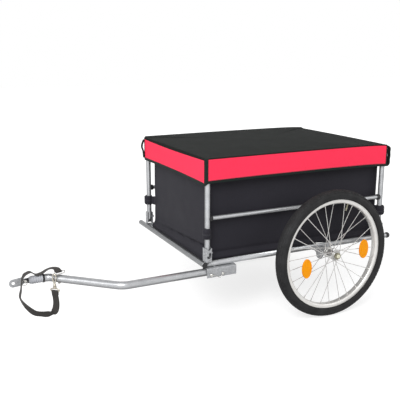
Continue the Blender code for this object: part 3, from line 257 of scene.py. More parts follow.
class Skin:
    """A mesh in the making, whose map holds metres round and along each lofted part."""

    LEVEL = 0.8

    def __init__(self) -> None:
        """Starts an empty mesh with its map."""
        self.body = bmesh.new()
        self.map = self.body.loops.layers.uv.new("wrap")
        self.last: list[bmesh.types.BMVert] = []

    @staticmethod
    def run_lengths(points: Sequence[Vector], closed: bool) -> list[float]:
        """The length along a row up to each point, and up to its first again where it is closed."""
        row = [*points, points[0]] if closed else points
        return list(accumulate(((b - a).length for a, b in zip(row, row[1:])), initial=0.0))

    def loft(self, rings: Sequence[Ring], loop: bool = False, caps: bool = True,
             slots: Sequence[int] = ()) -> "Skin":
        """Skins a row of closed rings with equal numbers of points.

        Args:
            rings: The rings.
            loop: Whether the last ring joins the first.
            caps: Whether the open ends are filled.
            slots: The material slot of each level of faces, if it isn't 0.

        Returns:
            This skin.
        """
        rows = [[self.body.verts.new(point) for point in ring] for ring in rings]
        around = self.run_lengths(rings[len(rings) // 2], True)
        along = self.run_lengths([ring[0] for ring in rings], loop)
        count = len(rows[0])
        for level in range(len(rows) if loop else len(rows) - 1):
            low, high = rows[level], rows[(level + 1) % len(rows)]
            for i in range(count):
                j = (i + 1) % count
                face = self.body.faces.new((low[i], low[j], high[j], high[i]))
                face.material_index = slots[level] if slots else 0
                corners = ((i, level), (i + 1, level), (i + 1, level + 1), (i, level + 1))
                for corner, (a, b) in zip(face.loops, corners):
                    corner[self.map].uv = (around[a], along[b])
        if caps and not loop:
            self.cap(rows[0], 0)
            self.cap(rows[-1], 0)
        self.last = rows[-1]
        return self

    def cap(self, row: Sequence[bmesh.types.BMVert], slot: int) -> None:
        """Fills one end and maps it flat.

        Args:
            row: The end's corners in order.
            slot: The material slot of the face.
        """
        face = self.body.faces.new(row)
        face.material_index = slot
        face.normal_update()
        across = face.normal.cross(Z)
        across = across.normalized() if across.length > 0.1 else X
        over = across.cross(face.normal)
        for corner in face.loops:
            corner[self.map].uv = (corner.vert.co.dot(across), corner.vert.co.dot(over))

    def close_sheet(self) -> None:
        """Fills a sheet's last ring in its last material, and maps its level faces from above."""
        self.cap(self.last, self.last[0].link_faces[0].material_index)
        self.body.normal_update()
        for face in self.body.faces:
            if abs(face.normal.z) > self.LEVEL:
                for corner in face.loops:
                    corner[self.map].uv = corner.vert.co.xy

    def move(self, x: float, z: float) -> "Skin":
        """Moves all that is made so far."""
        bmesh.ops.translate(self.body, verts=self.body.verts, vec=(x, 0, z))
        return self

    def turn(self, profile: Sequence[Flat], axis: Axis, steps: int, loop: bool = False) -> "Skin":
        """Revolves a profile around an axis, a loop where the profile closes on itself."""
        angles = round_angles(steps)
        return self.loft([[axis.around(a, r, along) for a in angles] for along, r in profile], loop)

    def bar(self, path: Sequence[Vector], radius: float | Sequence[float], up: Vector,
            sides: int = 16, loop: bool = False) -> "Skin":
        """Runs a round bar along a path that never takes the up direction."""
        radii = [radius] * len(path) if isinstance(radius, float) else radius
        return self.loft(bar_rings(path, radii, up, sides, loop), loop)

    def ribbon(self, path: Sequence[Vector], across: Sequence[Vector], half: float,
               thick: float, strips: int = 4) -> "Skin":
        """Runs a flat band along a path, with thinner edges.

        Args:
            path: The band's middle line.
            across: The direction of its width at each point.
            half: Half its width.
            thick: Its thickness.
            strips: Faces across its width.

        Returns:
            This skin.
        """
        rings = []
        shares = [2 * i / strips - 1 for i in range(strips + 1)]
        lips = [(share, 1 if abs(share) < 1 else 0.35) for share in shares]
        for point, ahead, wide in zip(path, headings(path), across):
            wide = (wide - ahead * wide.dot(ahead)).normalized()
            face = wide.cross(ahead) * thick / 2
            top = [point + wide * half * share + face * lip for share, lip in lips]
            under = [point + wide * half * share - face * lip for share, lip in reversed(lips)]
            rings.append(top + under)
        return self.loft(rings)

    def prism(self, outline: Sequence[Flat], axis: Axis, low: float, high: float) -> "Skin":
        """Extrudes a flat outline along an axis."""
        return self.loft([[axis.point(a, b, level) for a, b in outline] for level in (low, high)])

    def mesh(self, name: str, place: Matrix, angle: float) -> bpy.types.Mesh:
        """Turns the skin into a shaded mesh.

        Args:
            name: The mesh's name.
            place: Where the skin's own zero lies, from the point between the posts.
            angle: Edges sharper than this, in degrees, stay crisp.

        Returns:
            The mesh.
        """
        bmesh.ops.recalc_face_normals(self.body, faces=self.body.faces)
        made = bpy.data.meshes.new(name)
        self.body.to_mesh(made)
        self.body.free()
        made.transform(Matrix.Translation(DATUM) @ place)
        made.shade_smooth()
        made.set_sharp_from_angle(angle=math.radians(angle))
        return made


def tube(axis: Axis, low: float, high: float, radius: float, wall: float) -> Skin:
    """A hollow tube with broken edges at both ends.

    Args:
        axis: The axis that it lies on.
        low: Where it starts.
        high: Where it ends.
        radius: Its outer radius.
        wall: Its wall.

    Returns:
        The tube's skin.
    """
    lip, bore = wall / 3, radius - wall
    profile = [(low, bore + lip), (low, radius - lip), (low + lip, radius), (high - lip, radius),
               (high, radius - lip), (high, bore + lip), (high - lip, bore), (low + lip, bore)]
    return Skin().turn(profile, axis, 32, True)


def rod(axis: Axis, low: float, high: float, radius: float, sides: int = 24) -> Skin:
    """A plain rod, to cut holes with."""
    return Skin().turn([(low, radius), (high, radius)], axis, sides)


class Pattern(Enum):
    """The fine surface structures that the finishes show."""

    BRUSHED = "brushed_lines"
    SPANGLE = "zinc_spangle"
    WEAVE = "oxford_weave"
    RIBS = "webbing_ribs"
    GRAIN = "moulded_grain"
    PRISMS = "reflector_prisms"


class Lay(Enum):
    """What a pattern follows: the run of a skin, its turn, or the object itself."""

    ALONG = "along"
    AROUND = "around"
    SOLID = "solid"


class NodeSheet:
    """A node tree in the making."""

    def __init__(self, tree: bpy.types.NodeTree) -> None:
        """Keeps the tree that nodes are added to."""
        self.tree = tree

    def feed(self, socket: Socket, source: object) -> None:
        """Links a socket or sets its value.

        Args:
            socket: The socket.
            source: Another socket, or the value.
        """
        if isinstance(source, Socket):
            self.tree.links.new(source, socket)
        else:
            socket.default_value = source

    def node(self, kind: str, feeds: dict | None = None, **settings: object) -> bpy.types.Node:
        """Adds one node.

        Args:
            kind: The shader node's type without its prefix.
            feeds: Sockets or values for its inputs, by name or number.
            **settings: The node's own settings.

        Returns:
            The node.
        """
        made = self.tree.nodes.new("ShaderNode" + kind)
        for key, value in settings.items():
            setattr(made, key, value)
        for key, source in (feeds or {}).items():
            self.feed(made.inputs[key], source)
        return made

    def place(self, group: bpy.types.NodeTree, feeds: dict[str, object]) -> bpy.types.NodeOutputs:
        """Places a shared group with its own values, and hands on its outputs."""
        return self.node("Group", feeds, node_tree=group).outputs

    def calc(self, operation: str, first: object, second: object = 0.0) -> Socket:
        """Joins two values by one arithmetic operation."""
        return self.node("Math", {0: first, 1: second}, operation=operation).outputs[0]

    def times(self, first: object, second: object) -> Socket:
        """Multiplies two values."""
        return self.calc("MULTIPLY", first, second)

    def weigh(self, first: object, share: float, second: object, other: float) -> Socket:
        """Adds up two values, each by its own share."""
        return self.calc("ADD", self.times(first, share), self.times(second, other))

    def wave(self, turns: object, beat: float = 1.0) -> Socket:
        """A sine wave over a number of turns, or over some beats in each."""
        return self.calc("SINE", self.times(turns, beat * TURN))

    def spread(self, value: object, low: float, high: float) -> Socket:
        """Stretches a value's stated span to 0 to 1."""
        return self.node("MapRange", {0: value, 1: low, 2: high}).outputs[0]

    def mix(self, share: object, first: object, second: object) -> Socket:
        """Mixes two colours by a share."""
        return self.node("Mix", {0: share, 6: first, 7: second}, data_type="RGBA").outputs[2]

    def toned(self, colour: Socket, value: float, saturation: float = 1.0) -> Socket:
        """Makes a colour lighter or darker, and stronger or greyer."""
        feeds = {"Value": value, "Saturation": saturation, "Color": colour}
        return self.node("HueSaturation", feeds).outputs[0]

    def clouds(self, place: object, scale: object, detail: float = 3.0) -> Socket:
        """A soft noise around 0.5."""
        return self.node("TexNoise", {"Vector": place, "Scale": scale, "Detail": detail}).outputs[0]

    def cells(self, place: object, scale: object) -> bpy.types.NodeOutputs:
        """Cells of uneven shape."""
        return self.node("TexVoronoi", {"Vector": place, "Scale": scale}).outputs

    def drawn(self, place: object, share: float) -> Socket:
        """Stretches coordinates along their second axis."""
        return self.node("Mapping", {"Vector": place, "Scale": (1.0, share, 1.0)}).outputs[0]

    def split(self, place: object) -> bpy.types.NodeOutputs:
        """Parts coordinates into their three values."""
        return self.node("SeparateXYZ", {0: place}).outputs


class GroupSheet(NodeSheet):
    """A shared group in the making, with its ways in and out."""

    def __init__(self, name: str, inputs: dict[str, str], outputs: dict[str, str]) -> None:
        """Opens the group.

        Args:
            name: The group's name.
            inputs: Socket names with their kinds, Float, Color or Vector.
            outputs: The same for what it puts out.
        """
        super().__init__(bpy.data.node_groups.new(name, "ShaderNodeTree"))
        for sockets, way in ((inputs, "INPUT"), (outputs, "OUTPUT")):
            for label, kind in sockets.items():
                self.tree.interface.new_socket(label, in_out=way, socket_type="NodeSocket" + kind)
        self.given = self.tree.nodes.new("NodeGroupInput").outputs
        self.result = self.tree.nodes.new("NodeGroupOutput").inputs

    def put_out(self, **results: Socket) -> bpy.types.NodeTree:
        """Feeds the ways out.

        Args:
            **results: What goes to each of them, by its name.

        Returns:
            The finished group.
        """
        for label, source in results.items():
            self.feed(self.result[label], source)
        return self.tree


class PatternSheet(GroupSheet):
    """The group of one pattern. Each of its makers returns the pattern's mask and height."""

    def __init__(self, pattern: Pattern) -> None:
        """Opens the group, draws the pattern and puts it out.

        Args:
            pattern: The pattern.
        """
        super().__init__(pattern.value, {"Place": "Vector", "Fineness": "Float"},
                         {"Mask": "Float", "Height": "Float"})
        self.spot, self.fine = self.given["Place"], self.given["Fineness"]
        makers = {Pattern.BRUSHED: self.brushed, Pattern.SPANGLE: self.spangle,
                  Pattern.WEAVE: self.weave, Pattern.RIBS: self.ribs,
                  Pattern.GRAIN: self.grain, Pattern.PRISMS: self.prisms}
        mask, height = makers[pattern]()
        self.put_out(Mask=mask, Height=height)

    def brushed(self) -> tuple[Socket, Socket]:
        """Fine lines along the map's second axis, as drawing and polishing leave them.

        Returns:
            The mask and the height.
        """
        lines = self.clouds(self.drawn(self.spot, 0.012), self.fine, 4.0)
        blotches = self.clouds(self.spot, 38.0, 2.0)
        return self.spread(self.weigh(lines, 0.7, blotches, 0.3), 0.34, 0.66), lines

    def spangle(self) -> tuple[Socket, Socket]:
        """Crystal patches of zinc over fine grain.

        Returns:
            The mask and the height.
        """
        flakes = self.node("SeparateColor", {0: self.cells(self.spot, self.fine)["Color"]})
        grains = self.clouds(self.spot, 900.0, 2.0)
        return self.weigh(flakes.outputs[0], 0.65, grains, 0.35), grains

    def weave(self) -> tuple[Socket, Socket]:
        """Plain weave of a coated cloth: threads over and under in both ways of the map.

        Returns:
            The mask and the height.
        """
        warp, weft = [self.wave(self.times(way, self.fine)) for way in self.split(self.spot)[:2]]
        checks = self.spread(self.times(warp, weft), -1.0, 1.0)
        slubs = self.clouds(self.drawn(self.spot, 0.08), 420.0, 2.0)
        return self.weigh(checks, 0.5, slubs, 0.5), checks

    def ribs(self) -> tuple[Socket, Socket]:
        """Webbing: cords side by side along the band, crossed by close picks.

        Returns:
            The mask and the height.
        """
        across, along = self.split(self.spot)[:2]
        cords = self.wave(self.times(across, self.fine))
        slant = self.calc("ADD", along, self.times(cords, 0.0004))
        picks = self.wave(self.times(slant, self.fine), 2.0)
        height = self.spread(self.weigh(cords, 0.6, picks, 0.4), -1.0, 1.0)
        return height, height

    def grain(self) -> tuple[Socket, Socket]:
        """The fine eroded grain of moulded plastic and rubber."""
        coarse, wide = self.clouds(self.spot, self.fine, 4.0), self.clouds(self.spot, 30.0, 2.0)
        return self.spread(self.weigh(coarse, 0.5, wide, 0.5), 0.35, 0.65), coarse

    def prisms(self) -> tuple[Socket, Socket]:
        """Upright ribs and small cells behind a reflector's clear face."""
        bands = self.spread(self.wave(self.times(self.split(self.spot)[0], self.fine)), -1.0, 1.0)
        return self.weigh(bands, 0.7, self.cells(self.spot, 420.0)[0], 0.6), bands


class SurfaceShop:
    """Builds the shared node groups once and hands them out."""

    def __init__(self) -> None:
        """Builds the patterns and the groups for tone, gloss and stitches."""
        self.patterns = {pattern: PatternSheet(pattern).tree for pattern in Pattern}
        self.tone = self.surface_tone()
        self.gloss = self.gloss_range()
        self.stitches = self.stitch_row()

    @staticmethod
    def surface_tone() -> bpy.types.NodeTree:
        """Colour from a pattern, with wide patches and lighter worn edges.

        Returns:
            The group.
        """
        sheet = GroupSheet("surface_tone", {
            "Place": "Vector", "Colour": "Color", "Second Colour": "Color", "Mask": "Float",
            "Patches": "Float", "Wear": "Float"}, {"Colour": "Color"})
        given = sheet.given
        base = sheet.mix(given["Mask"], given["Colour"], given["Second Colour"])
        wide = sheet.spread(sheet.clouds(given["Place"], 9.0), 0.3, 0.7)
        patched = sheet.mix(sheet.times(wide, given["Patches"]), base, sheet.toned(base, 0.78))
        edges = sheet.spread(sheet.node("NewGeometry").outputs["Pointiness"], 0.52, 0.62)
        light = sheet.toned(patched, 1.5, 0.8)
        return sheet.put_out(Colour=sheet.mix(sheet.times(edges, given["Wear"]), patched, light))

    @staticmethod
    def gloss_range() -> bpy.types.NodeTree:
        """Roughness between two values, by the pattern and by wide handling marks.

        Returns:
            The group.
        """
        sheet = GroupSheet("gloss_range", {"Place": "Vector", "Mask": "Float", "Low": "Float",
                                           "High": "Float"}, {"Roughness": "Float"})
        given = sheet.given
        share = sheet.weigh(given["Mask"], 0.5, sheet.clouds(given["Place"], 16.0, 4.0), 0.5)
        span = sheet.calc("SUBTRACT", given["High"], given["Low"])
        return sheet.put_out(Roughness=sheet.calc("ADD", given["Low"], sheet.times(share, span)))

    @staticmethod
    def stitch_row() -> bpy.types.NodeTree:
        """One row of machine stitches at a stated height of the map.

        Returns:
            The group.
        """
        sheet = GroupSheet("stitch_row", {"Place": "Vector", "Row": "Float", "Pitch": "Float"},
                           {"Mask": "Float"})
        along, height = sheet.split(sheet.given["Place"])[:2]
        away = sheet.calc("ABSOLUTE", sheet.calc("SUBTRACT", height, sheet.given["Row"]))
        beat = sheet.wave(sheet.calc("DIVIDE", along, sheet.given["Pitch"]))
        return sheet.put_out(Mask=sheet.times(sheet.spread(away, 0.0008, 0.0003),
                                              sheet.spread(beat, -0.7, -0.3)))


@dataclass(frozen=True)
class Finish:
    """One finish of the trailer, from its colours to its pattern and gloss."""

    name: str
    slot: str
    colour: Colour
    second: Colour
    gloss: tuple[float, float]
    pattern: Pattern
    fineness: float
    relief: float
    lay: Lay = Lay.SOLID
    metallic: float = 0.0
    patches: float = 0.35
    wear: float = 0.0
    coat: float = 0.0
    sheen: float = 0.0
    shine: float = 0.5
    rows: tuple[float, ...] = ()
    pitch: float = 0.0034
    # edge_shade sets how much painted shade darkens the colour at grazing edges
    edge_shade: float = 0.0

    THREAD = (*seen(66, 66, 69), 1.0)
    THREAD_RELIEF = 3.0
    EDGE_BLEND = 0.75
    EDGE_DARK = 0.22
    COAT_ROUGHNESS = 0.12
    SHEEN_ROUGHNESS = 0.5

    def material(self, shop: SurfaceShop) -> bpy.types.Material:
        """Makes the material.

        Args:
            shop: Where the shared groups come from.

        Returns:
            The material.
        """
        made = bpy.data.materials.new(self.name)
        made.use_nodes = True
        made.diffuse_color = (*self.colour, 1.0)
        sheet = NodeSheet(made.node_tree)
        shader = made.node_tree.nodes["Principled BSDF"]
        place = self.coordinates(sheet)
        pattern = sheet.place(shop.patterns[self.pattern], {"Place": place, "Fineness": self.fineness})
        common = {"Place": place, "Mask": pattern["Mask"]}
        tone = sheet.place(shop.tone, {
            **common, "Colour": (*self.colour, 1.0), "Second Colour": (*self.second, 1.0),
            "Patches": self.patches, "Wear": self.wear})
        gloss = sheet.place(shop.gloss, {**common, "Low": self.gloss[0], "High": self.gloss[1]})
        colour, height = tone["Colour"], pattern["Height"]
        for row in self.rows:
            stitch = sheet.place(shop.stitches, {"Place": place, "Row": row, "Pitch": self.pitch})
            colour = sheet.mix(stitch["Mask"], colour, self.THREAD)
            height = sheet.calc("ADD", height, sheet.times(stitch["Mask"], self.THREAD_RELIEF))
        # Painted shade: the colour darkens towards a dark share of the second colour where the surface
        # turns away from the view, standing in for the shade and dark reflections along a tube's edges
        if self.edge_shade:
            facing = sheet.node("LayerWeight", {"Blend": self.EDGE_BLEND}).outputs["Facing"]
            dark = (*[self.EDGE_DARK * share for share in self.second], 1.0)
            colour = sheet.mix(sheet.times(facing, self.edge_shade), colour, dark)
        bump = sheet.node("Bump", {"Height": height, "Distance": self.relief}).outputs[0]
        feeds = {"Base Color": colour, "Roughness": gloss["Roughness"], "Normal": bump,
                 "Metallic": self.metallic, "Specular IOR Level": self.shine,
                 "Coat Weight": self.coat, "Coat Roughness": self.COAT_ROUGHNESS,
                 "Sheen Weight": self.sheen, "Sheen Roughness": self.SHEEN_ROUGHNESS}
        for label, source in feeds.items():
            sheet.feed(shader.inputs[label], source)
        return made

    def coordinates(self, sheet: NodeSheet) -> Socket:
        """The coordinates in metres that the pattern follows.

        Args:
            sheet: The material's nodes.

        Returns:
            The coordinates.
        """
        if self.lay is Lay.SOLID:
            return sheet.node("TexCoord").outputs["Object"]
        wrap = sheet.node("UVMap", uv_map="wrap").outputs[0]
        if self.lay is Lay.ALONG:
            return wrap
        parts = sheet.split(wrap)
        return sheet.node("CombineXYZ", {0: parts[1], 1: parts[0]}).outputs[0]


TUBE = Finish("brushed_tube", "tube", seen(198, 199, 201), seen(154, 156, 159), (0.20, 0.38),
              Pattern.BRUSHED, 2600.0, 0.00002, Lay.ALONG, metallic=0.60, patches=0.20, wear=0.15,
              edge_shade=0.85)
ZINC = Finish("zinc_sheet", "sheet", seen(172, 173, 175), seen(130, 132, 135), (0.34, 0.56),
              Pattern.SPANGLE, 260.0, 0.00004, metallic=0.45, patches=0.45, wear=0.45)
BRIGHT = Finish("bright_steel", "bright", seen(216, 215, 211), seen(172, 170, 165), (0.16, 0.34),
                Pattern.BRUSHED, 3200.0, 0.00001, Lay.AROUND, metallic=0.75, patches=0.3, wear=0.4,
                edge_shade=0.6)
NICKEL = Finish("worn_nickel", "bright", seen(210, 204, 190), seen(146, 138, 122), (0.20, 0.42),
                Pattern.GRAIN, 700.0, 0.00002, metallic=0.70, patches=0.6, wear=0.6, edge_shade=0.6)
ALLOY = Finish("rim_alloy", "alloy", seen(234, 233, 230), seen(206, 204, 201), (0.24, 0.42),
               Pattern.BRUSHED, 2400.0, 0.00002, Lay.AROUND, metallic=0.45, patches=0.2, wear=0.3,
               edge_shade=0.25)
HUB = Finish("turned_hub", "alloy", seen(212, 211, 208), seen(172, 171, 169), (0.20, 0.38),
             Pattern.BRUSHED, 2400.0, 0.00002, Lay.AROUND, metallic=0.6, patches=0.3, wear=0.4,
             edge_shade=0.75)
SPOKE = Finish("drawn_spoke", "bright", seen(206, 205, 203), seen(168, 166, 164), (0.20, 0.40),
               Pattern.BRUSHED, 3000.0, 0.00001, Lay.ALONG, metallic=0.5, patches=0.2, wear=0.2)
BRASS = Finish("aged_brass", "dark", seen(150, 147, 128), seen(108, 104, 86), (0.28, 0.50),
               Pattern.BRUSHED, 2600.0, 0.00001, Lay.AROUND, metallic=0.6, patches=0.4, wear=0.5)
CAST = Finish("dark_casting", "dark", seen(62, 62, 66), seen(36, 36, 40), (0.36, 0.60),
              Pattern.GRAIN, 900.0, 0.00005, metallic=0.55, patches=0.4, wear=0.7)
PLASTIC = Finish("black_plastic", "plastic", seen(34, 34, 36), seen(22, 22, 24), (0.30, 0.50),
                 Pattern.GRAIN, 1400.0, 0.00003, patches=0.2, wear=0.35, shine=0.35)
TYRE = Finish("tyre_rubber", "tyre", seen(47, 47, 48), seen(31, 31, 32), (0.58, 0.86),
              Pattern.GRAIN, 1100.0, 0.00006, patches=0.5, wear=0.5, shine=0.16)
GREY_RUBBER = Finish("grey_rubber", "grey_rubber", seen(176, 178, 183), seen(160, 162, 168),
                     (0.45, 0.70), Pattern.GRAIN, 1300.0, 0.00003, patches=0.3, wear=0.3, shine=0.3)
OXFORD = Finish("black_oxford", "cloth", seen(42, 41, 47), seen(31, 30, 36), (0.55, 0.78),
                Pattern.WEAVE, 900.0, 0.00006, Lay.ALONG, patches=0.25, sheen=0.02, shine=0.12,
                rows=(0.0195, 0.0215))
LID_BLACK = Finish("lid_oxford", "cloth", seen(30, 32, 31), seen(24, 26, 25), (0.60, 0.80),
                   Pattern.WEAVE, 900.0, 0.00006, Lay.ALONG, patches=0.2, shine=0.03)
LID_RED = Finish("red_oxford", "cover_cloth", seen(253, 58, 90), seen(238, 46, 76), (0.60, 0.80),
                 Pattern.WEAVE, 900.0, 0.00005, Lay.ALONG, patches=0.08, sheen=0.02, shine=0.12,
                 rows=(0.0105,))
TAPE = Finish("binding_tape", "cloth", seen(30, 39, 36), seen(20, 27, 25), (0.60, 0.85),
              Pattern.RIBS, 500.0, 0.00008, Lay.AROUND, patches=0.3, sheen=0.02, shine=0.1)
WEBBING = Finish("black_webbing", "webbing", seen(66, 64, 62), seen(42, 40, 39), (0.55, 0.80),
                 Pattern.RIBS, 420.0, 0.00020, Lay.ALONG, patches=0.3, sheen=0.03, shine=0.15,
                 rows=(0.0060, 0.0085, 0.0330, 0.4600, 0.4830), pitch=0.0021)
AMBER = Finish("amber_reflector", "amber", seen(252, 182, 0), seen(238, 134, 0), (0.18, 0.34),
               Pattern.PRISMS, 320.0, 0.00025, patches=0.35, coat=0.06, shine=0.10)
CREAM = Finish("cream_button", "cream", seen(224, 222, 200), seen(204, 201, 176), (0.30, 0.48),
               Pattern.GRAIN, 1200.0, 0.00003, patches=0.25, coat=0.2)


def at(x: float, y: float, z: float, turn: float = 0.0) -> Matrix:
    """A place, with a turn about the upright in radians."""
    return Matrix.Translation((x, y, z)) @ Matrix.Rotation(turn, 4, "Z")


def put(name: str, data: bpy.types.ID) -> Piece:
    """Puts a new object in the scene.

    Args:
        name: Its name.
        data: Its mesh, lamp or camera data.

    Returns:
        The object.
    """
    made = bpy.data.objects.new(name, data)
    bpy.context.scene.collection.objects.link(made)
    return made


class Workbench:
    """Hands out materials, and puts finished pieces on the bodies that carry them."""

    WELD = 0.00001
    BREAK_ANGLE = 40.0

    def __init__(self) -> None:
        """Starts with the shared node groups and no materials."""
        self.shop = SurfaceShop()
        self.materials: dict[str, bpy.types.Material] = {}

    def material(self, finish: Finish) -> bpy.types.Material:
        """Makes a finish's material once.

        Args:
            finish: The finish.

        Returns:
            Its material.
        """
        if finish.name not in self.materials:
            self.materials[finish.name] = finish.material(self.shop)
        return self.materials[finish.name]

    def add(self, name: str, skin: Skin, finishes: Sequence[Finish], body: str,
            replaces: Sequence[str] = (), place: Matrix = Matrix(), angle: float = CRISP) -> Piece:
        """Puts a new piece in the scene.

        Args:
            name: The piece's name.
            skin: Its mesh in the making.
            finishes: One finish for each material slot.
            body: The CAD body that carries it.
            replaces: The CAD nodes that it stands for.
            place: Where its own zero lies.
            angle: Edges sharper than this stay crisp, in degrees.

        Returns:
            The piece.
        """
        made = put(name, skin.mesh(name, place, angle))
        for finish in finishes:
            made.data.materials.append(self.material(finish))
        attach(made, body)
        if replaces:
            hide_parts(*replaces)
        LOG.info("%s rides on %s", name, body)
        return made

    def keep(self, node: str, finish: Finish, edge: float = 0.0005) -> None:
        """Keeps a CAD node, with broken edges and its finish.

        Args:
            node: The node.
            finish: Its finish.
            edge: The width of its broken edges.
        """
        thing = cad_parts[node]
        for place in thing.material_slots:
            place.material = self.material(finish)
        thing.modifiers.new("weld", "WELD").merge_threshold = self.WELD
        bevel = thing.modifiers.new("edges", "BEVEL")
        bevel.width, bevel.segments = edge, 2
        bevel.limit_method, bevel.angle_limit = "ANGLE", math.radians(self.BREAK_ANGLE)
        thing.modifiers.new("normals", "WEIGHTED_NORMAL").keep_sharp = True
        LOG.info("%s is kept", node)

    @staticmethod
    def settle(piece: Piece) -> None:
        """Writes a piece's modifiers into its mesh.

        Args:
            piece: The piece.
        """
        bpy.context.view_layer.update()
        graph = bpy.context.evaluated_depsgraph_get()
        made = bpy.data.meshes.new_from_object(piece.evaluated_get(graph))
        piece.modifiers.clear()
        piece.data = made

    def cut(self, piece: Piece, tool: Skin) -> None:
        """Takes a tool's shape out of a piece.

        Args:
            piece: The piece.
            tool: The closed shape, laid out from the point between the posts.
        """
        helper = put("cutter", tool.mesh("cutter", Matrix(), CRISP))
        change = piece.modifiers.new("cut", "BOOLEAN")
        change.operation, change.solver, change.object = "DIFFERENCE", "EXACT", helper
        self.settle(piece)
        bpy.data.objects.remove(helper)

    def thicken(self, piece: Piece, thickness: float) -> None:
        """Gives a cloth its thickness on both sides of its middle.

        Args:
            piece: The open sheet.
            thickness: The cloth's thickness.
        """
        solid = piece.modifiers.new("cloth", "SOLIDIFY")
        solid.thickness, solid.offset, solid.use_rim = thickness, 0.0, True
        self.settle(piece)


@dataclass(frozen=True)
class Plan:
    """The main lines that the trailer's sub-assemblies share."""

    post_x: float = 0.3920
    post_y: float = 0.2850
    base_z: float = 0.2565
    axle_x: float = 0.0980
    axle_z: float = 0.2500
    tow_y: float = -0.2865
    tow_z: float = 0.2265
    hitch_y: float = -0.0925
    cross_pin_x: float = -0.3840
    cross_pin_z: float = 0.2180
    ring_x: float = -0.8920
    ring_y: float = -0.120535
    ring_turn: float = 20.0
    tube_r: float = 0.0100


PLAN = Plan()


@dataclass
class Assembly:
    """A sub-assembly of the trailer, made at a workbench."""

    bench: Workbench

    body = "base"

    def dress(self, node: str, skin: Skin, finish: Finish, place: Matrix = Matrix(),
              angle: float = CRISP, body: str = "") -> Piece:
        """Stands a finer piece in for one CAD node, on this sub-assembly's body or another."""
        return self.bench.add(f"{node}.dressed", skin, (finish,), body or self.body, (node,), place,
                              angle)


@dataclass
class SidedAssembly(Assembly):
    """A sub-assembly that the trailer has on its left and on its right."""

    side: Side

    part = ""

    @property
    def body(self) -> str:
        """The body that carries most of it."""
        return f"{self.side.label}_{self.part}"


@dataclass
class BaseFrame(Assembly):
    """The welded base: long tubes, cross tubes, end caps, brackets and plates."""

    wall: float = 0.0015
    front_x: float = -0.4085
    rear_end: float = 0.4330
    front_near: float = -0.2960
    front_far: float = 0.3450
    axle_tube_r: float = 0.0105
    axle_way_r: float = 0.0066
    ball_r: float = 0.0120
    stem_r: float = 0.0080
    stem: float = 0.0100
    gap: float = 0.0003
    stop_x: float = -0.3383
    channel_half: float = 0.0188

    def build(self) -> None:
        """Builds the base."""
        for side in Side:
            self.long_tube(side)
            for part in ("front_bracket", "rear_bracket", "axle_plate"):
                self.bench.keep(f"{side.label}_{part}", ZINC)
        self.bench.keep("tow_bracket", ZINC)
        self.cross_tubes()
        self.plugs()
        self.stop_bolt()

    def long_tube(self, side: Side) -> None:
        """One long tube, coped to the front tube and bored for the axle, with its end ball.

        Args:
            side: The side that it lies on.
        """
        y, reach = side * PLAN.post_y, 2 * PLAN.tube_r
        long = self.dress(f"{side.label}_base_tube",
                          tube(Axis.X, self.front_x, self.rear_end, PLAN.tube_r, self.wall), TUBE,
                          at(0, y, PLAN.base_z))
        cope = rod(Axis.Y, -PLAN.post_x, PLAN.post_x, PLAN.tube_r + self.gap, 32)
        self.bench.cut(long, cope.move(self.front_x, PLAN.base_z))
        way = rod(Axis.Y, y - reach, y + reach, self.axle_way_r)
        self.bench.cut(long, way.move(PLAN.axle_x, PLAN.axle_z))
        centre = self.gap + self.ball_r * math.cos(math.radians(45))
        profile = [(-self.stem, self.stem_r), (self.gap, self.stem_r),
                   *arc((centre, 0.0), self.ball_r, 135, 4, 16)]
        self.dress(f"{side.label}_end_ball", Skin().turn(profile, Axis.X, 40), PLASTIC,
                   at(self.rear_end, y, PLAN.base_z))

    def cross_tubes(self) -> None:
        """The front, axle and rear cross tubes."""
        half, way_r = PLAN.post_y, self.axle_way_r
        for name, x, z, low, high, radius, wall in (
                ("front", self.front_x, PLAN.base_z, self.front_near, self.front_far, PLAN.tube_r,
                 self.wall),
                ("axle", PLAN.axle_x, PLAN.axle_z, -half, half, self.axle_tube_r,
                 self.axle_tube_r - way_r),
                ("rear", PLAN.post_x, PLAN.base_z, -half, half, PLAN.tube_r, self.wall)):
            self.dress(f"{name}_cross_tube", tube(Axis.Y, low, high, radius, wall), TUBE, at(x, 0, z))

    def plugs(self) -> None:
        """The domed plugs in the ends of the front tube."""
        profile = [(-self.stem, self.stem_r), (0.0003, self.stem_r), (0.0003, 0.0096),
                   (0.0006, 0.0100), (0.0022, 0.0100), (0.0030, 0.0094), (0.0038, 0.0078),
                   (0.0043, 0.0052), (0.0045, 0.0022)]
        for side, y in ((Side.LEFT, self.front_near), (Side.RIGHT, self.front_far)):
            skin = Skin().turn([(side * along, r) for along, r in profile], Axis.Y, 32)
            self.dress(f"front_tube_{side.label}_plug", skin, PLASTIC,
                       at(self.front_x, y, PLAN.base_z))

    def stop_bolt(self) -> None:
        """The bolt across the tow bracket, with its washerless dome head and its nut."""
        face = self.channel_half
        shank = [(-face - 0.0003, 0.0040), (face + 0.0071, 0.0040), (face + 0.0075, 0.0036)]
        dome = [(-face - 0.0045, 0.0016), (-face - 0.0042, 0.0034), (-face - 0.0034, 0.0047),
                (-face - 0.0022, 0.0054), (-face - 0.0004, 0.0055), (-face, 0.0052)]
        nut = [(face, 0.0051), (face + 0.0005, 0.0057), (face + 0.0045, 0.0057),
               (face + 0.0050, 0.0050)]
        skin = Skin().turn(shank, Axis.Y, 24).turn(dome, Axis.Y, 24).turn(nut, Axis.Y, 6)
        self.dress("tow_stop_bolt", skin, BRIGHT, at(self.stop_x, PLAN.tow_y, PLAN.cross_pin_z))


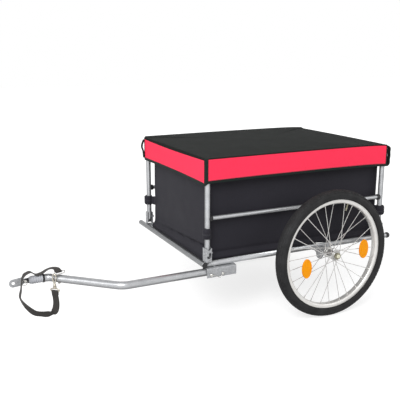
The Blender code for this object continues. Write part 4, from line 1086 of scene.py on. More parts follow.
@dataclass
class SideFrame(SidedAssembly):
    """One folding side: posts, rails, bushings, and the cloth that holds the box on it."""

    post_low: float = 0.2860
    post_high: float = 0.6340
    wall: float = 0.0012
    top_rail_z: float = 0.6215
    mid_rail_z: float = 0.4255
    mid_rail_r: float = 0.0080
    bushing_r: float = 0.0115
    bushing: float = 0.0085
    cloth_x: float = 0.3745
    cloth_y: float = 0.2618
    cloth_top: float = 0.6115
    sleeve_r: float = 0.0117
    tie_low: float = 0.3520
    tie_high: float = 0.3900
    tie_inside_r: float = 0.0104

    part = "frame"

    def build(self) -> Piece:
        """Builds the side.

        Returns:
            The sleeve and ties, which belong to the box.
        """
        for end in End:
            self.post(end)
            self.mid_rail_bushing(end)
        reach = PLAN.post_x - PLAN.tube_r / 2
        for rail, z, radius in (("top_rail", self.top_rail_z, PLAN.tube_r),
                                ("mid_rail", self.mid_rail_z, self.mid_rail_r)):
            self.dress(f"{self.side.label}_{rail}", tube(Axis.X, -reach, reach, radius, self.wall),
                       TUBE, at(0, self.side * PLAN.post_y, z))
        return self.sleeve_and_ties()

    def post(self, end: End) -> None:
        """One post with its pressed-in end caps.

        Args:
            end: The end that it stands at.
        """
        r, low, high = PLAN.tube_r, self.post_low, self.post_high
        profile = [(low + 0.0006, 0.0022), (low + 0.0002, 0.0070), (low, 0.0088), (low + 0.0010, r),
                   (high - 0.0010, r), (high, 0.0088), (high - 0.0002, 0.0070),
                   (high - 0.0006, 0.0022)]
        self.dress(f"{self.side.label}_{end.label}_post", Skin().turn(profile, Axis.Z, 32), TUBE,
                   at(end * PLAN.post_x, self.side * PLAN.post_y, 0))

    def mid_rail_bushing(self, end: End) -> None:
        """The plastic bushing at one end of the mid rail.

        Args:
            end: The end that it sits at.
        """
        face, r = PLAN.post_x - PLAN.tube_r, self.bushing_r
        inner = face - self.bushing
        profile = [(inner, 0.0083), (inner, r - 0.0012), (inner + 0.0010, r - 0.0002),
                   (inner + 0.0040, r), (inner + 0.0044, r - 0.0007), (inner + 0.0056, r - 0.0007),
                   (inner + 0.0060, r), (face + 0.0040, r), (face + 0.0040, 0.0083)]
        skin = Skin().turn([(end * along, radius) for along, radius in profile], Axis.X, 32, True)
        self.dress(f"{self.side.label}_{end.label}_bushing", skin, PLASTIC,
                   at(0, self.side * PLAN.post_y, self.mid_rail_z))

    def sleeve_and_ties(self) -> Piece:
        """The cloth round the top rail and the ties round the posts, as one sewn piece.

        Returns:
            The piece.
        """
        skin = Skin().loft(list(self.sleeve_rings()))
        for end in End:
            skin.loft(self.tie_rings(end), True).loft(self.tie_web(end))
        name = self.side.label
        return self.bench.add(f"{name}_sleeve_and_ties", skin, (OXFORD,), self.body,
                              (f"{name}_side_cloth",), angle=55)

    def sleeve_rings(self) -> Iterator[Ring]:
        """Laps the cloth over the top rail.

        Yields:
            Its closed outlines from the front to the rear.
        """
        drop = Vector((PLAN.post_y - self.cloth_y, self.cloth_top - self.top_rail_z))
        way = math.atan2(drop.y, drop.x)
        across = Vector((-drop.y, drop.x)).normalized() * 0.0008
        count = 96
        for i in range(count + 1):
            x = -self.cloth_x + 2 * self.cloth_x * i / count
            tip = drop * (1 + 0.03 * ripple(Vector((x, 0, 0)), 14, 3.0))
            ring = [tip + across, tip - across]
            for k in range(21):
                angle = way - math.radians(40 + 280 * k / 20)
                r = self.sleeve_r + 0.0003 * ripple(Vector((x, angle, 0)), 9, 5.0)
                ring.append(turned(angle).xy * r)
            yield [Vector((x, self.side * (PLAN.post_y - p.x), self.top_rail_z + p.y)) for p in ring]

    def tie_rings(self, end: End) -> list[Ring]:
        """The closed band of one tie round its post, standing proud where the cloth bunches.

        Args:
            end: The post's end.

        Returns:
            The band's rings, from its inside up over its outside.
        """
        post = Vector((end * PLAN.post_x, self.side * PLAN.post_y, 0))
        outward = math.atan2(self.side * 0.75, end)
        levels = [(0.0, None), (0.0, 0.6), (0.12, 0.9), (0.32, 1.0), (0.5, 0.94), (0.68, 1.0),
                  (0.88, 0.9), (1.0, 0.55), (1.0, None)]
        rings = []
        for share, swell in levels:
            z = self.tie_low + (self.tie_high - self.tie_low) * share
            ring = []
            for angle in round_angles(40):
                face = max(0.0, math.cos(angle - outward))
                fold = ripple(turned(angle) + Z * 60 * z, 2.2, 8.0 + end)
                proud = 0.0142 + 0.0068 * face ** 1.2 + 0.0016 * fold - 0.0108
                r = self.tie_inside_r if swell is None else 0.0108 + proud * swell
                ring.append(post + turned(angle) * r + Z * z)
            rings.append(ring)
        return rings

    def tie_web(self, end: End) -> list[Ring]:
        """The doubled cloth from a tie to the box's corner.

        Args:
            end: The post's end.

        Returns:
            Its outlines from the post to the box.
        """
        start = Vector((end * (PLAN.post_x - 0.006), self.side * (PLAN.post_y - 0.009), 0))
        stop = Vector((end * 0.3735, self.side * 0.2570, 0))
        across = (stop - start).normalized().cross(Z)
        tie = self.tie_high - self.tie_low - 0.006
        rings = []
        for i in range(7):
            share = i / 6
            middle = start.lerp(stop, share)
            thick = across * (0.0030 - 0.0016 * share)
            tall = 0.0030 * share
            ring = []
            for k in range(9):
                z = self.tie_low + 0.003 - tall + (tie + 2 * tall) * k / 8
                ring.append(middle + thick + Z * z + across * 0.0012 * ripple(Z * z, 90, 4.0))
            rings.append(ring + [p - 2 * thick for p in reversed(ring)])
        return rings


@dataclass
class SewnShell(Assembly):
    """One sheet sewn round a rounded rectangle."""

    half_x: float
    half_y: float
    corner: float
    corner_steps: int = 6
    pitch: float = 0.009
    cloth: float = 0.0014

    def __post_init__(self) -> None:
        """Lays out the contour, as points with the directions that they face."""
        self.contour = list(self.outline())

    def outline(self) -> Iterator[tuple[Vector, Vector]]:
        """Walks round the rounded rectangle.

        Yields:
            Each point with its outward direction.
        """
        centres = [Vector((a * (self.half_x - self.corner), b * (self.half_y - self.corner), 0))
                   for a, b in CORNERS]
        for number, centre in enumerate(centres):
            for i in range(self.corner_steps + 1):
                out = turned(math.radians(90 * (number + i / self.corner_steps)))
                last = centre + out * self.corner
                yield last, out
            goal = centres[(number + 1) % 4] + out * self.corner
            count = round((goal - last).length / self.pitch)
            yield from ((last.lerp(goal, i / count), out) for i in range(1, count))

    def side_of(self, place: Vector, out: Vector) -> Flat:
        """How far a point is from the middle of its side, and half that side."""
        return (place.y, self.half_y) if abs(out.x) > 0.7 else (place.x, self.half_x)

    @staticmethod
    def fold(pieces: Sequence[Piece], level: float, share: float) -> None:
        """Gives each piece its own copy of its mesh; nothing is flattened.

        Args:
            pieces: The pieces.
            level: The height that they would flatten to. Not used.
            share: How much of their thickness would stay. Not used.
        """
        for piece in pieces:
            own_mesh(piece)

    def declare(self, sheet: Piece, wall: float, held: str, rests_on: list[str],
                sewn_on: list[Piece]) -> None:
        """Does nothing; its arguments describe the sheet as cut from a rectangle with a wall along
        each side.

        Args:
            sheet: The sheet. Not used.
            wall: How high its walls are. Not used.
            held: How it is held. Not used.
            rests_on: What it rests on. Not used.
            sewn_on: The pieces on it. Not used.
        """


@dataclass
class FabricBox(SewnShell):
    """The sewn box: one shell of coated cloth that hangs from the side frames and sags."""

    half_x: float = 0.3785
    half_y: float = 0.2612
    corner: float = 0.0150
    top: float = 0.6120
    edge_z: float = 0.2590
    over_axle: float = 0.0045
    floor: float = 0.2650
    roll: float = 0.0080
    side_flare: float = 0.0085
    front_flare: float = 0.0140
    front_drop: float = 0.0070
    rear_bulge: float = 0.0185
    sag: float = 0.0034
    hem: float = 0.0220
    tie_z: float = 0.3710
    roll_line: float = 0.2860
    folded_z: float = 0.2680
    folded_share: float = 0.006

    def build(self, sleeves: Sequence[Piece]) -> None:
        """Builds the box.

        Args:
            sleeves: Its sleeves and ties on the side frames.
        """
        skin = Skin().loft(self.rings(), caps=False)
        skin.close_sheet()
        box = self.bench.add("fabric_box", skin, (OXFORD,), self.body,
                             ("bag_floor", "front_cloth", "rear_cloth"), angle=80)
        self.bench.thicken(box, self.cloth)
        self.fold([box], self.folded_z, self.folded_share)
        self.declare(box, self.top - self.edge_z, "hung",
                     ["left_top_rail", "right_top_rail", "left_base_tube", "right_base_tube"],
                     list(sleeves))

    def rings(self) -> list[Ring]:
        """The shell's rings, from its top hem down and in to the middle of its floor.

        Returns:
            The rings.
        """
        rows = [self.ring(i / 60, 0.0) for i in range(60)]
        rows += [self.ring(1.0, math.radians(15 * i)) for i in range(7)]
        edge = rows[-1]
        for i in range(1, 22):
            share = 1 - i / 22
            row = []
            for p in edge:
                spot = Vector((p.x * share, p.y * share, 0))
                level = self.floor + 0.0006 * ripple(spot, 9, 2.0)
                row.append(spot + Z * (level + (p.z - level) * share ** 6))
            rows.append(row)
        return rows

    def ring(self, share: float, turn: float) -> Ring:
        """One level of the walls or of the roll under them.

        Args:
            share: The way down from the hem to where the roll starts.
            turn: How far the roll has turned in, in radians.

        Returns:
            Its points.
        """
        found = []
        for place, out in self.contour:
            low = self.edge_z + self.over_axle * bell(place.x, PLAN.axle_x, 0.030)
            low -= self.front_drop * max(0.0, -out.x) ** 2
            z = self.top + (low + self.roll - self.top) * share - self.roll * math.sin(turn)
            proud = self.swell(place, out, z) - self.roll * (1 - math.cos(turn))
            found.append(place + Z * z + out * proud)
        return found

    def swell(self, place: Vector, out: Vector, z: float) -> float:
        """How far the cloth stands out from the flat wall.

        Args:
            place: The point on the contour.
            out: The direction that it faces.
            z: Its height.

        Returns:
            The offset along that direction.
        """
        across, half = self.side_of(place, out)
        rise = max(0.0, min(1.0, (z - self.edge_z) / (self.top - self.edge_z)))
        middle = math.sin(math.pi * rise) * belly(across, half)
        spot = Vector((place.x, place.y, z))
        found = self.sag * middle + 0.0011 * ripple(spot, 6, 1.0) * min(1.0, 4 * rise)
        found += 0.0005 * ripple(spot, 19, 2.5) * middle
        found -= 0.0022 * bell(z, self.tie_z, 0.030) * (abs(across) / half) ** 10
        if z > self.top - self.hem:
            found += 0.0006
        line = self.roll_line + 0.0020 * ripple(Vector((place.x, 0, 0)), 5, 6.0)
        side = self.side_flare * eased((line - 0.002 - z) / 0.014) - 0.0034 * bell(z, line, 0.0055)
        found += side * out.y ** 2 + self.front_crease(place, z) * max(0.0, -out.x) ** 2
        return found + self.rear_bulge * max(0.0, out.x) ** 2 * eased((z - 0.278) / 0.03)

    def front_crease(self, place: Vector, z: float) -> float:
        """The long fold across the front wall, and the flared strip under it.

        Args:
            place: The point on the contour.
            z: Its height.

        Returns:
            Its share of the offset.
        """
        share = (self.half_y - place.y) / (2 * self.half_y)
        line = 0.2830 + 0.0400 * share + 0.0020 * math.sin(5 * share)
        crease = 0.0042 * bell(z, line, 0.0060) - 0.0100 * bell(z, line - 0.0105, 0.0045)
        flare = self.front_flare * eased((line - z) / (line - 0.2680))
        return (0.45 + 0.55 * share) * crease + flare


@dataclass
class FittedCover(SewnShell):
    """The fitted cover: one curved sheet with a black top and a red band, taped along its edges."""

    half_x: float = 0.4062
    half_y: float = 0.2992
    corner: float = 0.0118
    corner_steps: int = 8
    low: float = 0.5578
    edge_z: float = 0.6432
    edge_r: float = 0.0028
    crown: float = 0.0045
    front_sag: float = 0.0100
    near_sag: float = 0.0030
    side_sag: float = 0.0035
    far_rise: float = 0.0040
    rear_sag: float = 0.0050
    lap: float = 0.0075
    tape: float = 0.0007
    tape_high: float = 0.0090
    tape_turn: float = 38.0
    tab_y: float = 0.2905
    tab_half: float = 0.0085
    tab_thick: float = 0.0060
    folded_share: float = 0.42
    stack_low: float = 0.2620

    body = "cover"
    FRONT_TAB = ((0.0024, 0.6350), (0.0060, 0.6270), (0.0105, 0.6160), (0.0120, 0.6040),
                 (0.0095, 0.5950), (0.0064, 0.5870), (0.0052, 0.5780), (0.0044, 0.5690),
                 (0.0034, 0.5580))
    REAR_TAB = ((0.0010, 0.6330), (0.0090, 0.6290), (0.0125, 0.6220), (0.0115, 0.6100),
                (0.0130, 0.5950), (0.0115, 0.5800), (0.0120, 0.5660), (0.0085, 0.5580),
                (0.0010, 0.5540))

    def build(self) -> None:
        """Builds the cover."""
        rings, slots = self.rings()
        skin = Skin().loft(rings, caps=False, slots=slots)
        skin.close_sheet()
        lid = self.bench.add("fitted_cover", skin, (LID_RED, LID_BLACK), self.body, ("cover",),
                             angle=80)
        self.bench.thicken(lid, self.cloth)
        trims = [self.bench.add(f"cover_{name}", skin, (TAPE,), self.body, angle=50)
                 for name, skin in (("hem_tape", self.hem()), ("corner_tapes", self.corner_tapes()),
                                    ("pull_tabs", self.pull_tabs()))]
        self.fold([lid, *trims], self.stack_low, self.folded_share)
        self.declare(lid, self.edge_z - self.low, "stretched", ["left_top_rail", "right_top_rail"],
                     trims)

    def offset(self, place: Vector, out: Vector, z: float) -> Flat:
        """How far the band stands out, and how far it is lifted, at a point.

        Args:
            place: The point on the contour.
            out: The direction that it faces.
            z: Its height.

        Returns:
            The two offsets.
        """
        across, half = self.side_of(place, out)
        middle = belly(across, half)
        hang = (self.edge_z - z) / (self.edge_z - self.low)
        pull = (0.0024 if abs(out.x) > 0.7 else 0.0009) * middle * hang
        wave = 0.0005 * ripple(Vector((place.x, place.y, z)), 11, 7.0) * middle
        ahead = max(0.0, -place.x / self.half_x)
        behind = max(0.0, place.x / self.half_x)
        near = max(0.0, -place.y / self.half_y)
        front = (self.front_sag + self.near_sag * near ** 2) * max(0.0, -out.x) ** 2
        lift = 0.0016 * ripple(Vector((place.x, place.y, 0)), 5, 9.0) * hang
        lift -= hang * (front + self.side_sag * out.y ** 2 * ahead ** 6)
        lift += self.far_rise * max(0.0, out.y) ** 2 * (1 - hang) - self.rear_sag * behind ** 8
        return wave - pull, lift + 0.0012 * middle

    def spot(self, place: Vector, out: Vector, z: float, proud: float = 0.0) -> Vector:
        """A point on the hanging band, or proud of the cloth's middle."""
        aside, lift = self.offset(place, out, z)
        return Vector((place.x, place.y, z + lift)) + out * (aside + proud)

    def rings(self) -> tuple[list[Ring], list[int]]:
        """The sheet's rings from its hem up and in to the middle of its top.

        Returns:
            The rings, and the material slot of each level of faces.
        """
        rows = []
        high = self.edge_z - self.edge_r
        for i in range(15):
            row = []
            for p, out in self.contour:
                drop = self.lap * (0.4 + 0.6 * belly(p.y, self.half_y)) * max(0.0, -out.x) ** 2
                seam = high - 0.0005 - drop
                row.append(self.spot(p, out, self.low + (seam - self.low) * i / 14))
            rows.append(row)
        for i in range(6):
            angle = math.radians(90 * i / 5)
            inset = self.edge_r * (1 - math.cos(angle))
            z = high + self.edge_r * math.sin(angle)
            rows.append([self.spot(p, out, z, -inset) for p, out in self.contour])
        edge = rows[-1]
        for i in range(1, 24):
            share = 1 - i / 24
            row = []
            for p in edge:
                spot = Vector((p.x * share, p.y * share, 0))
                rise = self.crown * (1 - share ** 2) + 0.0009 * ripple(spot, 7, 4.0) * (1 - share ** 6)
                row.append(spot + Z * (self.edge_z + (p.z - self.edge_z) * share ** 2.5 + rise))
            rows.append(row)
        return rows, [0] * 14 + [1] * (len(rows) - 14)

    def hem(self) -> Skin:
        """The tape folded over the cover's lower edge.

        Returns:
            Its skin.
        """
        half = self.cloth / 2
        section = ((half + self.tape, self.tape_high), (half + self.tape * 1.4, self.tape_high / 2),
                   (half + self.tape, 0.0), (0.0, -self.tape), (-half - self.tape / 2, 0.0),
                   (-half - self.tape / 2, self.tape_high), (half / 2, self.tape_high + 0.0003))
        return Skin().loft([[self.spot(p, out, self.low + rise, proud) for p, out in self.contour]
                            for proud, rise in section], True)

    def corner_tapes(self) -> Skin:
        """The upright tapes over the corner seams.

        Returns:
            Their skin.
        """
        skin = Skin()
        tall = self.edge_z - self.low - 0.001
        for number, (a, b) in enumerate(CORNERS):
            centre = Vector((a * (self.half_x - self.corner), b * (self.half_y - self.corner), 0))
            skin.loft([self.tape_section(centre, 90 * number + 45, self.low + 0.002 + tall * i / 24)
                       for i in range(25)])
        return skin

    def tape_section(self, centre: Vector, middle: float, z: float) -> Ring:
        """The closed outline of a corner tape at one height.

        Args:
            centre: The corner's centre.
            middle: The direction that the corner faces, in degrees.
            z: The height.

        Returns:
            Its points.
        """
        lean = min(1.0, (self.edge_z + 0.001 - z) / self.edge_r)
        inset = self.edge_r * (1 - math.sqrt(max(0.0, 1 - (1 - lean) ** 2)))
        outer, inner = [], []
        for k in range(11):
            out = turned(math.radians(middle + self.tape_turn * (k / 5 - 1)))
            place = centre + out * self.corner
            proud = self.cloth / 2 + self.tape + 0.0003 * math.sin(math.pi * k / 10)
            outer.append(self.spot(place, out, z, proud - inset))
            inner.append(self.spot(place, out, z, -inset))
        return outer + inner[::-1]

    def pull_tabs(self) -> Skin:
        """The loops of tape at two opposite corners, by which the cover is pulled off.

        Returns:
            Their skin.
        """
        skin = Skin()
        for end, guides in ((End.FRONT, self.FRONT_TAB), (End.REAR, self.REAR_TAB)):
            path = flowing_path([(end * (self.half_x + out), -end * self.tab_y, z)
                                 for out, z in guides], 0.002)
            skin.ribbon(path, [Y] * len(path), self.tab_half, self.tab_thick)
        return skin


class Tread:
    """The tyre's tread: three rows of blocks on each side of a middle groove."""

    ROWS = ((2.2, 13.6, 0), (18.4, 29.6, 1), (34.4, 48.0, 0))
    WALL = ((51.0, -0.0012), (58.0, -0.0010), (67.0, -0.0006), (72.0, -0.0004), (73.0, 0.0),
            (76.0, 0.0), (77.0, -0.0004), (88.0, -0.0004), (98.0, -0.0005), (105.0, -0.0002),
            (108.0, 0.0), (115.0, 0.0))
    SAMPLES = (0.0, 0.13, 0.17, 0.46, 0.50, 0.63, 0.67, 0.96)
    NOTCHED = {-1: (), 0: (0, 1), 1: (4, 5)}
    PITCHES = 96
    DEPTH = 0.0016
    MIDDLE = 1.4
    FOOT = 1.0
    GROOVE = 3.8

    @classmethod
    def section(cls) -> list[tuple[float, float, int]]:
        """The whole section's points, from one bead over the crown to the other.

        Returns:
            Angle from the crown in degrees, lift, and the row of blocks or -1.
        """
        half = [(0.0, -cls.DEPTH, -1), (cls.MIDDLE, -cls.DEPTH, -1)]
        for start, end, row in cls.ROWS:
            half += [(start, 0.0, row), (end, 0.0, row), (end + cls.FOOT, -cls.DEPTH, -1)]
            if (start, end, row) != cls.ROWS[-1]:
                half.append((end + cls.GROOVE, -cls.DEPTH, -1))
        half += [(angle, lift, -1) for angle, lift in cls.WALL]
        return [(-angle, lift, row) for angle, lift, row in reversed(half[1:])] + half


@dataclass
class Wheel(SidedAssembly):
    """One laced wheel, its tyre and reflectors, and the quick-release axle that it turns on."""

    track: float = 0.3700
    section_r: float = 0.0235
    tyre_inside_r: float = 0.0200
    spokes: int = 28
    spoke_r: float = 0.00125
    spoke_end_r: float = 0.1992
    lacing: float = math.radians(58)
    stagger: float = 0.0014
    hub_r: float = 0.0185
    hub_out: float = 0.0230
    rim_out: float = 0.0030
    reflector_wide: float = 0.0210
    reflector_tall: float = 0.0375

    part = "wheel"
    REFLECTORS = {"a": (0.1280, -0.0354), "b": (-0.1356, 0.0060)}
    VALVE = (-0.058, 0.175)

    def build(self) -> None:
        """Builds the wheel in its own place, with +Y pointing outwards."""
        name = self.side.label
        place = at(PLAN.axle_x, self.side * self.track, PLAN.axle_z, 0 if self.side > 0 else math.pi)
        self.dress(f"{name}_tyre", self.tyre(), TYRE, place)
        self.dress(f"{name}_rim", self.rim(), ALLOY, place)
        self.bench.add(f"{name}_spokes_and_nipples", self.laced_spokes(), (SPOKE,), self.body,
                       place=place)
        self.dress(f"{name}_hub_and_spokes", self.hub(), HUB, place, 30)
        self.bench.add(f"{name}_valve", self.valve(), (BRASS,), self.body, place=place)
        for letter, (x, z) in self.REFLECTORS.items():
            self.dress(f"{name}_reflector_{letter}", self.reflector(x, z), AMBER, place, 60)
        self.dress(f"{name}_axle", self.axle(), BRASS, place, body=f"{name}_axle")
        self.dress(f"{name}_axle_button", self.button(), CREAM, place, 50, f"{name}_button")

    def tyre(self) -> Skin:
        """The tyre with its tread blocks, fine wall ribs and beads.

        Returns:
            Its skin.
        """
        crown = PLAN.axle_z - self.section_r
        steps = len(Tread.SAMPLES)
        angles = [TURN * (pitch + sample) / Tread.PITCHES for pitch in range(Tread.PITCHES)
                  for sample in Tread.SAMPLES]
        rings = []
        for lean, lift, row in Tread.section():
            ring = []
            for i, angle in enumerate(angles):
                r = self.section_r + (
                    -Tread.DEPTH * 0.9 if i % steps in Tread.NOTCHED[row] else lift)
                ring.append(Axis.Y.around(angle, crown + r * math.cos(math.radians(lean)),
                                          r * math.sin(math.radians(lean))))
            rings.append(ring)
        inside = [(0.0150, 0.2158), (0.0119, 0.2154), (0.0119, 0.2056), (0.0110, 0.2052),
                  (0.0090, 0.2052), (0.0088, 0.2070), (0.0092, 0.2160), (0.0130, 0.2185)]
        inside += [(self.tyre_inside_r * math.sin(math.radians(a)),
                    crown + self.tyre_inside_r * math.cos(math.radians(a))) for a in (100, 73, 37, 1)]
        for along, r in inside + mirrored(inside):
            rings.append([Axis.Y.around(angle, r, along) for angle in angles])
        return Skin().loft(rings, True)

    def rim(self) -> Skin:
        """The rim's closed section, with rolled flanges and a curved inner face.

        Returns:
            Its skin.
        """
        half = [(0.0060, 0.2043), (0.0118, 0.2045), (0.0124, 0.2050), (0.0124, 0.2141),
                (0.0128, 0.2147), (0.0134, 0.2148), (0.0140, 0.2142), (0.0140, 0.2048),
                (0.0138, 0.2036), (0.0126, 0.2020), (0.0110, 0.2003), (0.0094, 0.1993),
                (0.0078, 0.1990), (0.0030, 0.1990)]
        return Skin().turn(half + mirrored(half), Axis.Y, 144, True)

    def spoke_ends(self) -> Iterator[tuple[Vector, Vector]]:
        """Laces the wheel in crossing pairs, to the two flanges in turn.

        Yields:
            Each spoke's hub end and rim end.
        """
        for number, angle in enumerate(round_angles(self.spokes)):
            flange = 1 if number % 2 == 0 else -1
            lacing = 1 if number // 2 % 2 == 0 else -1
            shift = lacing * self.stagger
            yield (Axis.Y.around(angle + lacing * self.lacing, self.hub_r,
                                 flange * self.hub_out + shift),
                   Axis.Y.around(angle, self.spoke_end_r, flange * self.rim_out + shift))

    def laced_spokes(self) -> Skin:
        """The spokes, each with a nipple at the rim and a bent head at the hub.

        Returns:
            Their skin.
        """
        skin = Skin()
        for hub, rim in self.spoke_ends():
            back = (hub - rim).normalized()
            skin.bar([hub, hub.lerp(rim, 0.5), rim], self.spoke_r, Y, 8)
            skin.bar([rim + back * s for s in (0.0, 0.0022, 0.0030, 0.0095, 0.0105)],
                     (0.0029, 0.0028, 0.0019, 0.0018, 0.0012), Y, 8)
            way = Y * math.copysign(1, hub.y)
            skin.bar([hub - way * 0.0022, hub - way * 0.0034], (0.0016, 0.0011), X, 8)
        return skin

    @staticmethod
    def hub() -> Skin:
        """The hub: barrel, two drilled-looking flanges, cones and the outer locknut.

        Returns:
            Its skin.
        """
        half = [(0.0185, 0.0118), (0.0198, 0.0126), (0.0208, 0.0146), (0.0215, 0.0168),
                (0.0216, 0.0204), (0.0222, 0.0210), (0.0240, 0.0210), (0.0245, 0.0204)]
        inner = [(0.0246, 0.0150), (0.0256, 0.0118), (0.0264, 0.0108), (0.0270, 0.0104),
                 (0.0270, 0.0068)]
        outer = [(0.0247, 0.0165), (0.0250, 0.0158), (0.0256, 0.0154), (0.0288, 0.0152),
                 (0.0297, 0.0146), (0.0300, 0.0138), (0.0300, 0.0068)]
        return Skin().turn(mirrored(half + inner) + half + outer, Axis.Y, 56, True)

    def valve(self) -> Skin:
        """The tube's valve through the rim, with its cap.

        Returns:
            Its skin.
        """
        out = Vector((self.VALVE[0], 0, self.VALVE[1])).normalized()
        stations = ((0.1994, 0.0045), (0.1975, 0.0045), (0.1970, 0.0030), (0.1860, 0.0029),
                    (0.1855, 0.0038), (0.1740, 0.0036), (0.1722, 0.0026))
        return Skin().bar([out * r for r, _ in stations], [size for _, size in stations], Y)

    def reflector(self, x: float, z: float) -> Skin:
        """An oval reflector: a rounded rim, a ribbed face, and two clips to the spokes.

        Args:
            x: Its middle in the wheel's plane.
            z: The same, upwards.

        Returns:
            Its skin.
        """
        wide, tall = self.reflector_wide, self.reflector_tall
        angles = round_angles(72)
        rings = []
        for level, inset in ((0.0165, 0.0016), (0.0170, 0.0004), (0.0180, 0.0), (0.0222, 0.0),
                             (0.0233, 0.0006), (0.0239, 0.0018), (0.0236, 0.0028), (0.0231, 0.0032)):
            rings.append([Vector((x + (wide - inset) * math.cos(a), level,
                                  z + (tall - inset) * math.sin(a))) for a in angles])
        for i in range(1, 16):
            share = 1 - i / 16
            row = []
            for a in angles:
                across = (wide - 0.0034) * share * math.cos(a)
                up = (tall - 0.0034) * share * math.sin(a)
                rib = 0.00045 * (1 - abs(math.sin(math.pi * across / 0.0044)))
                dome = 0.0006 * (1 - share ** 2)
                row.append(Vector((x + across, 0.0230 + rib + dome, z + up)))
            rings.append(row)
        skin = Skin().loft(rings)
        for lift in (-0.020, 0.020):
            outline = [(x + 0.006 * a, z + lift + 0.004 * b) for a, b in CORNERS]
            skin.prism(outline, Axis.Y, 0.0120, 0.0168)
        return skin

    @staticmethod
    def axle() -> Skin:
        """The quick-release axle with its rounded lead, its head and the button's recess.

        Returns:
            Its skin.
        """
        profile = [(-0.1060, 0.0040), (-0.1055, 0.0052), (-0.1044, 0.0060), (-0.1030, 0.0062),
                   (0.0303, 0.0062), (0.0303, 0.0118), (0.0309, 0.0125), (0.0370, 0.0125),
                   (0.0383, 0.0121), (0.0390, 0.0110), (0.0390, 0.0086), (0.0385, 0.0079),
                   (0.0355, 0.0078), (0.0355, 0.0034), (0.0150, 0.0034)]
        return Skin().turn(profile, Axis.Y, 48)

    @staticmethod
    def button() -> Skin:
        """The push button in the axle's head, with a small dimple.

        Returns:
            Its skin.
        """
        profile = [(0.0185, 0.0030), (0.0388, 0.0030), (0.0388, 0.0070), (0.0392, 0.0075),
                   (0.0408, 0.0075), (0.0417, 0.0070), (0.0423, 0.0056), (0.0425, 0.0038),
                   (0.0424, 0.0022), (0.0417, 0.0015)]
        return Skin().turn(profile, Axis.Y, 40)


@dataclass
class TowBar(Assembly):
    """The bent bar with its collar, rubber joint, clevis and strap ring."""

    rear_x: float = -0.3435
    bend_x: float = -0.7144
    front_bend_x: float = -0.9220
    front_x: float = -0.9380
    radius: float = 0.0140
    wall: float = 0.0018
    slot_half: float = 0.0044
    ribs: int = 5
    rib_pitch: float = 0.0080

    body = "tow"

    def build(self) -> None:
        """Builds the bar and what is fixed to it."""
        bar = self.dress("tow_bar", self.bent_tube(), TUBE, at(0, 0, PLAN.tow_z))
        back, low, high = self.rear_x + self.radius, -self.slot_half, self.slot_half
        fork = arc((PLAN.cross_pin_x, PLAN.cross_pin_z), self.slot_half, 90, 270, 16)
        fork += [(back, PLAN.cross_pin_z + low), (back, PLAN.cross_pin_z + high)]
        self.bench.cut(bar, Skin().prism(fork, Axis.Y, PLAN.tow_y - 0.03, PLAN.tow_y + 0.03))
        joint = at(0, PLAN.hitch_y, PLAN.tow_z)
        rear = self.front_x - 0.0005
        collar = [(rear - 0.0060, 0.0119), (rear - 0.0060, 0.0148), (rear - 0.0053, 0.0155),
                  (rear - 0.0007, 0.0155), (rear, 0.0148), (rear, 0.0119)]
        self.dress("tow_collar", Skin().turn(collar, Axis.X, 48, True), PLASTIC, joint)
        self.dress("rubber_joint", Skin().turn(self.rubber(), Axis.X, 48), GREY_RUBBER, joint)
        self.bench.keep("clevis", CAST, 0.0004)
        self.dress("strap_ring", self.strap_ring(), BRIGHT,
                   at(PLAN.ring_x, PLAN.ring_y, PLAN.tow_z, math.radians(PLAN.ring_turn)))

    def bent_tube(self) -> Skin:
        """The bar as one tube with two bends.

        Returns:
            Its skin.
        """
        corners = [Vector((self.rear_x, PLAN.tow_y, 0)), Vector((self.bend_x, PLAN.tow_y, 0)),
                   Vector((self.front_bend_x, PLAN.hitch_y, 0)),
                   Vector((self.front_x, PLAN.hitch_y, 0))]
        path = bent_path(corners, (0.060, 0.030))
        outer, inner = [bar_rings(path, [r] * len(path), Z, 40)
                        for r in (self.radius, self.radius - self.wall)]
        return Skin().loft(outer + inner[::-1], True)

    def rubber(self) -> list[Flat]:
        """The rubber joint's profile: stem, rounded ribs and the taper to the clevis.

        Returns:
            The profile.
        """
        profile = [(-0.9230, 0.0060), (-0.9230, 0.0086), (-0.9234, 0.0092), (-0.9345, 0.0116),
                   (-0.9450, 0.0116), (-0.9450, 0.0137), (-0.9453, 0.0142)]
        rib = ((0.06, 0.0145), (0.14, 0.0145), (0.50, 0.0145), (0.58, 0.0142), (0.64, 0.0134),
               (0.70, 0.0131), (0.88, 0.0131), (0.94, 0.0134))
        profile += [(-0.9450 - self.rib_pitch * (number + share), r)
                    for number in range(self.ribs) for share, r in rib]
        return profile + [(-0.9853, 0.0140), (-0.9868, 0.0133), (-0.9915, 0.0108),
                          (-0.9927, 0.0100), (-0.9930, 0.0092), (-0.9930, 0.0060)]

    def strap_ring(self) -> Skin:
        """The wide low ring on its stem, with the nut under the bar.

        Returns:
            Its skin.
        """
        wire, bend = 0.0017, 0.0044
        low = self.radius + 0.0003 + wire
        stem = [(-0.0200, 0.0022), (-0.0196, 0.0026), (low, 0.0026)]
        nut = [(-0.0183, 0.0044), (-0.0179, 0.0052), (-0.0147, 0.0052), (-0.0143, 0.0046)]
        outline = []
        for number, (a, b) in enumerate(CORNERS):
            centre = (a * (0.0245 - bend), low + 0.0045 + b * (0.0045 - bend))
            outline += arc(centre, bend, 90 * number, 90 * number + 90, 8)
        skin = Skin().turn(stem, Axis.Z, 20).turn(nut, Axis.Z, 6)
        return skin.bar(upright(outline), wire, Y, loop=True)


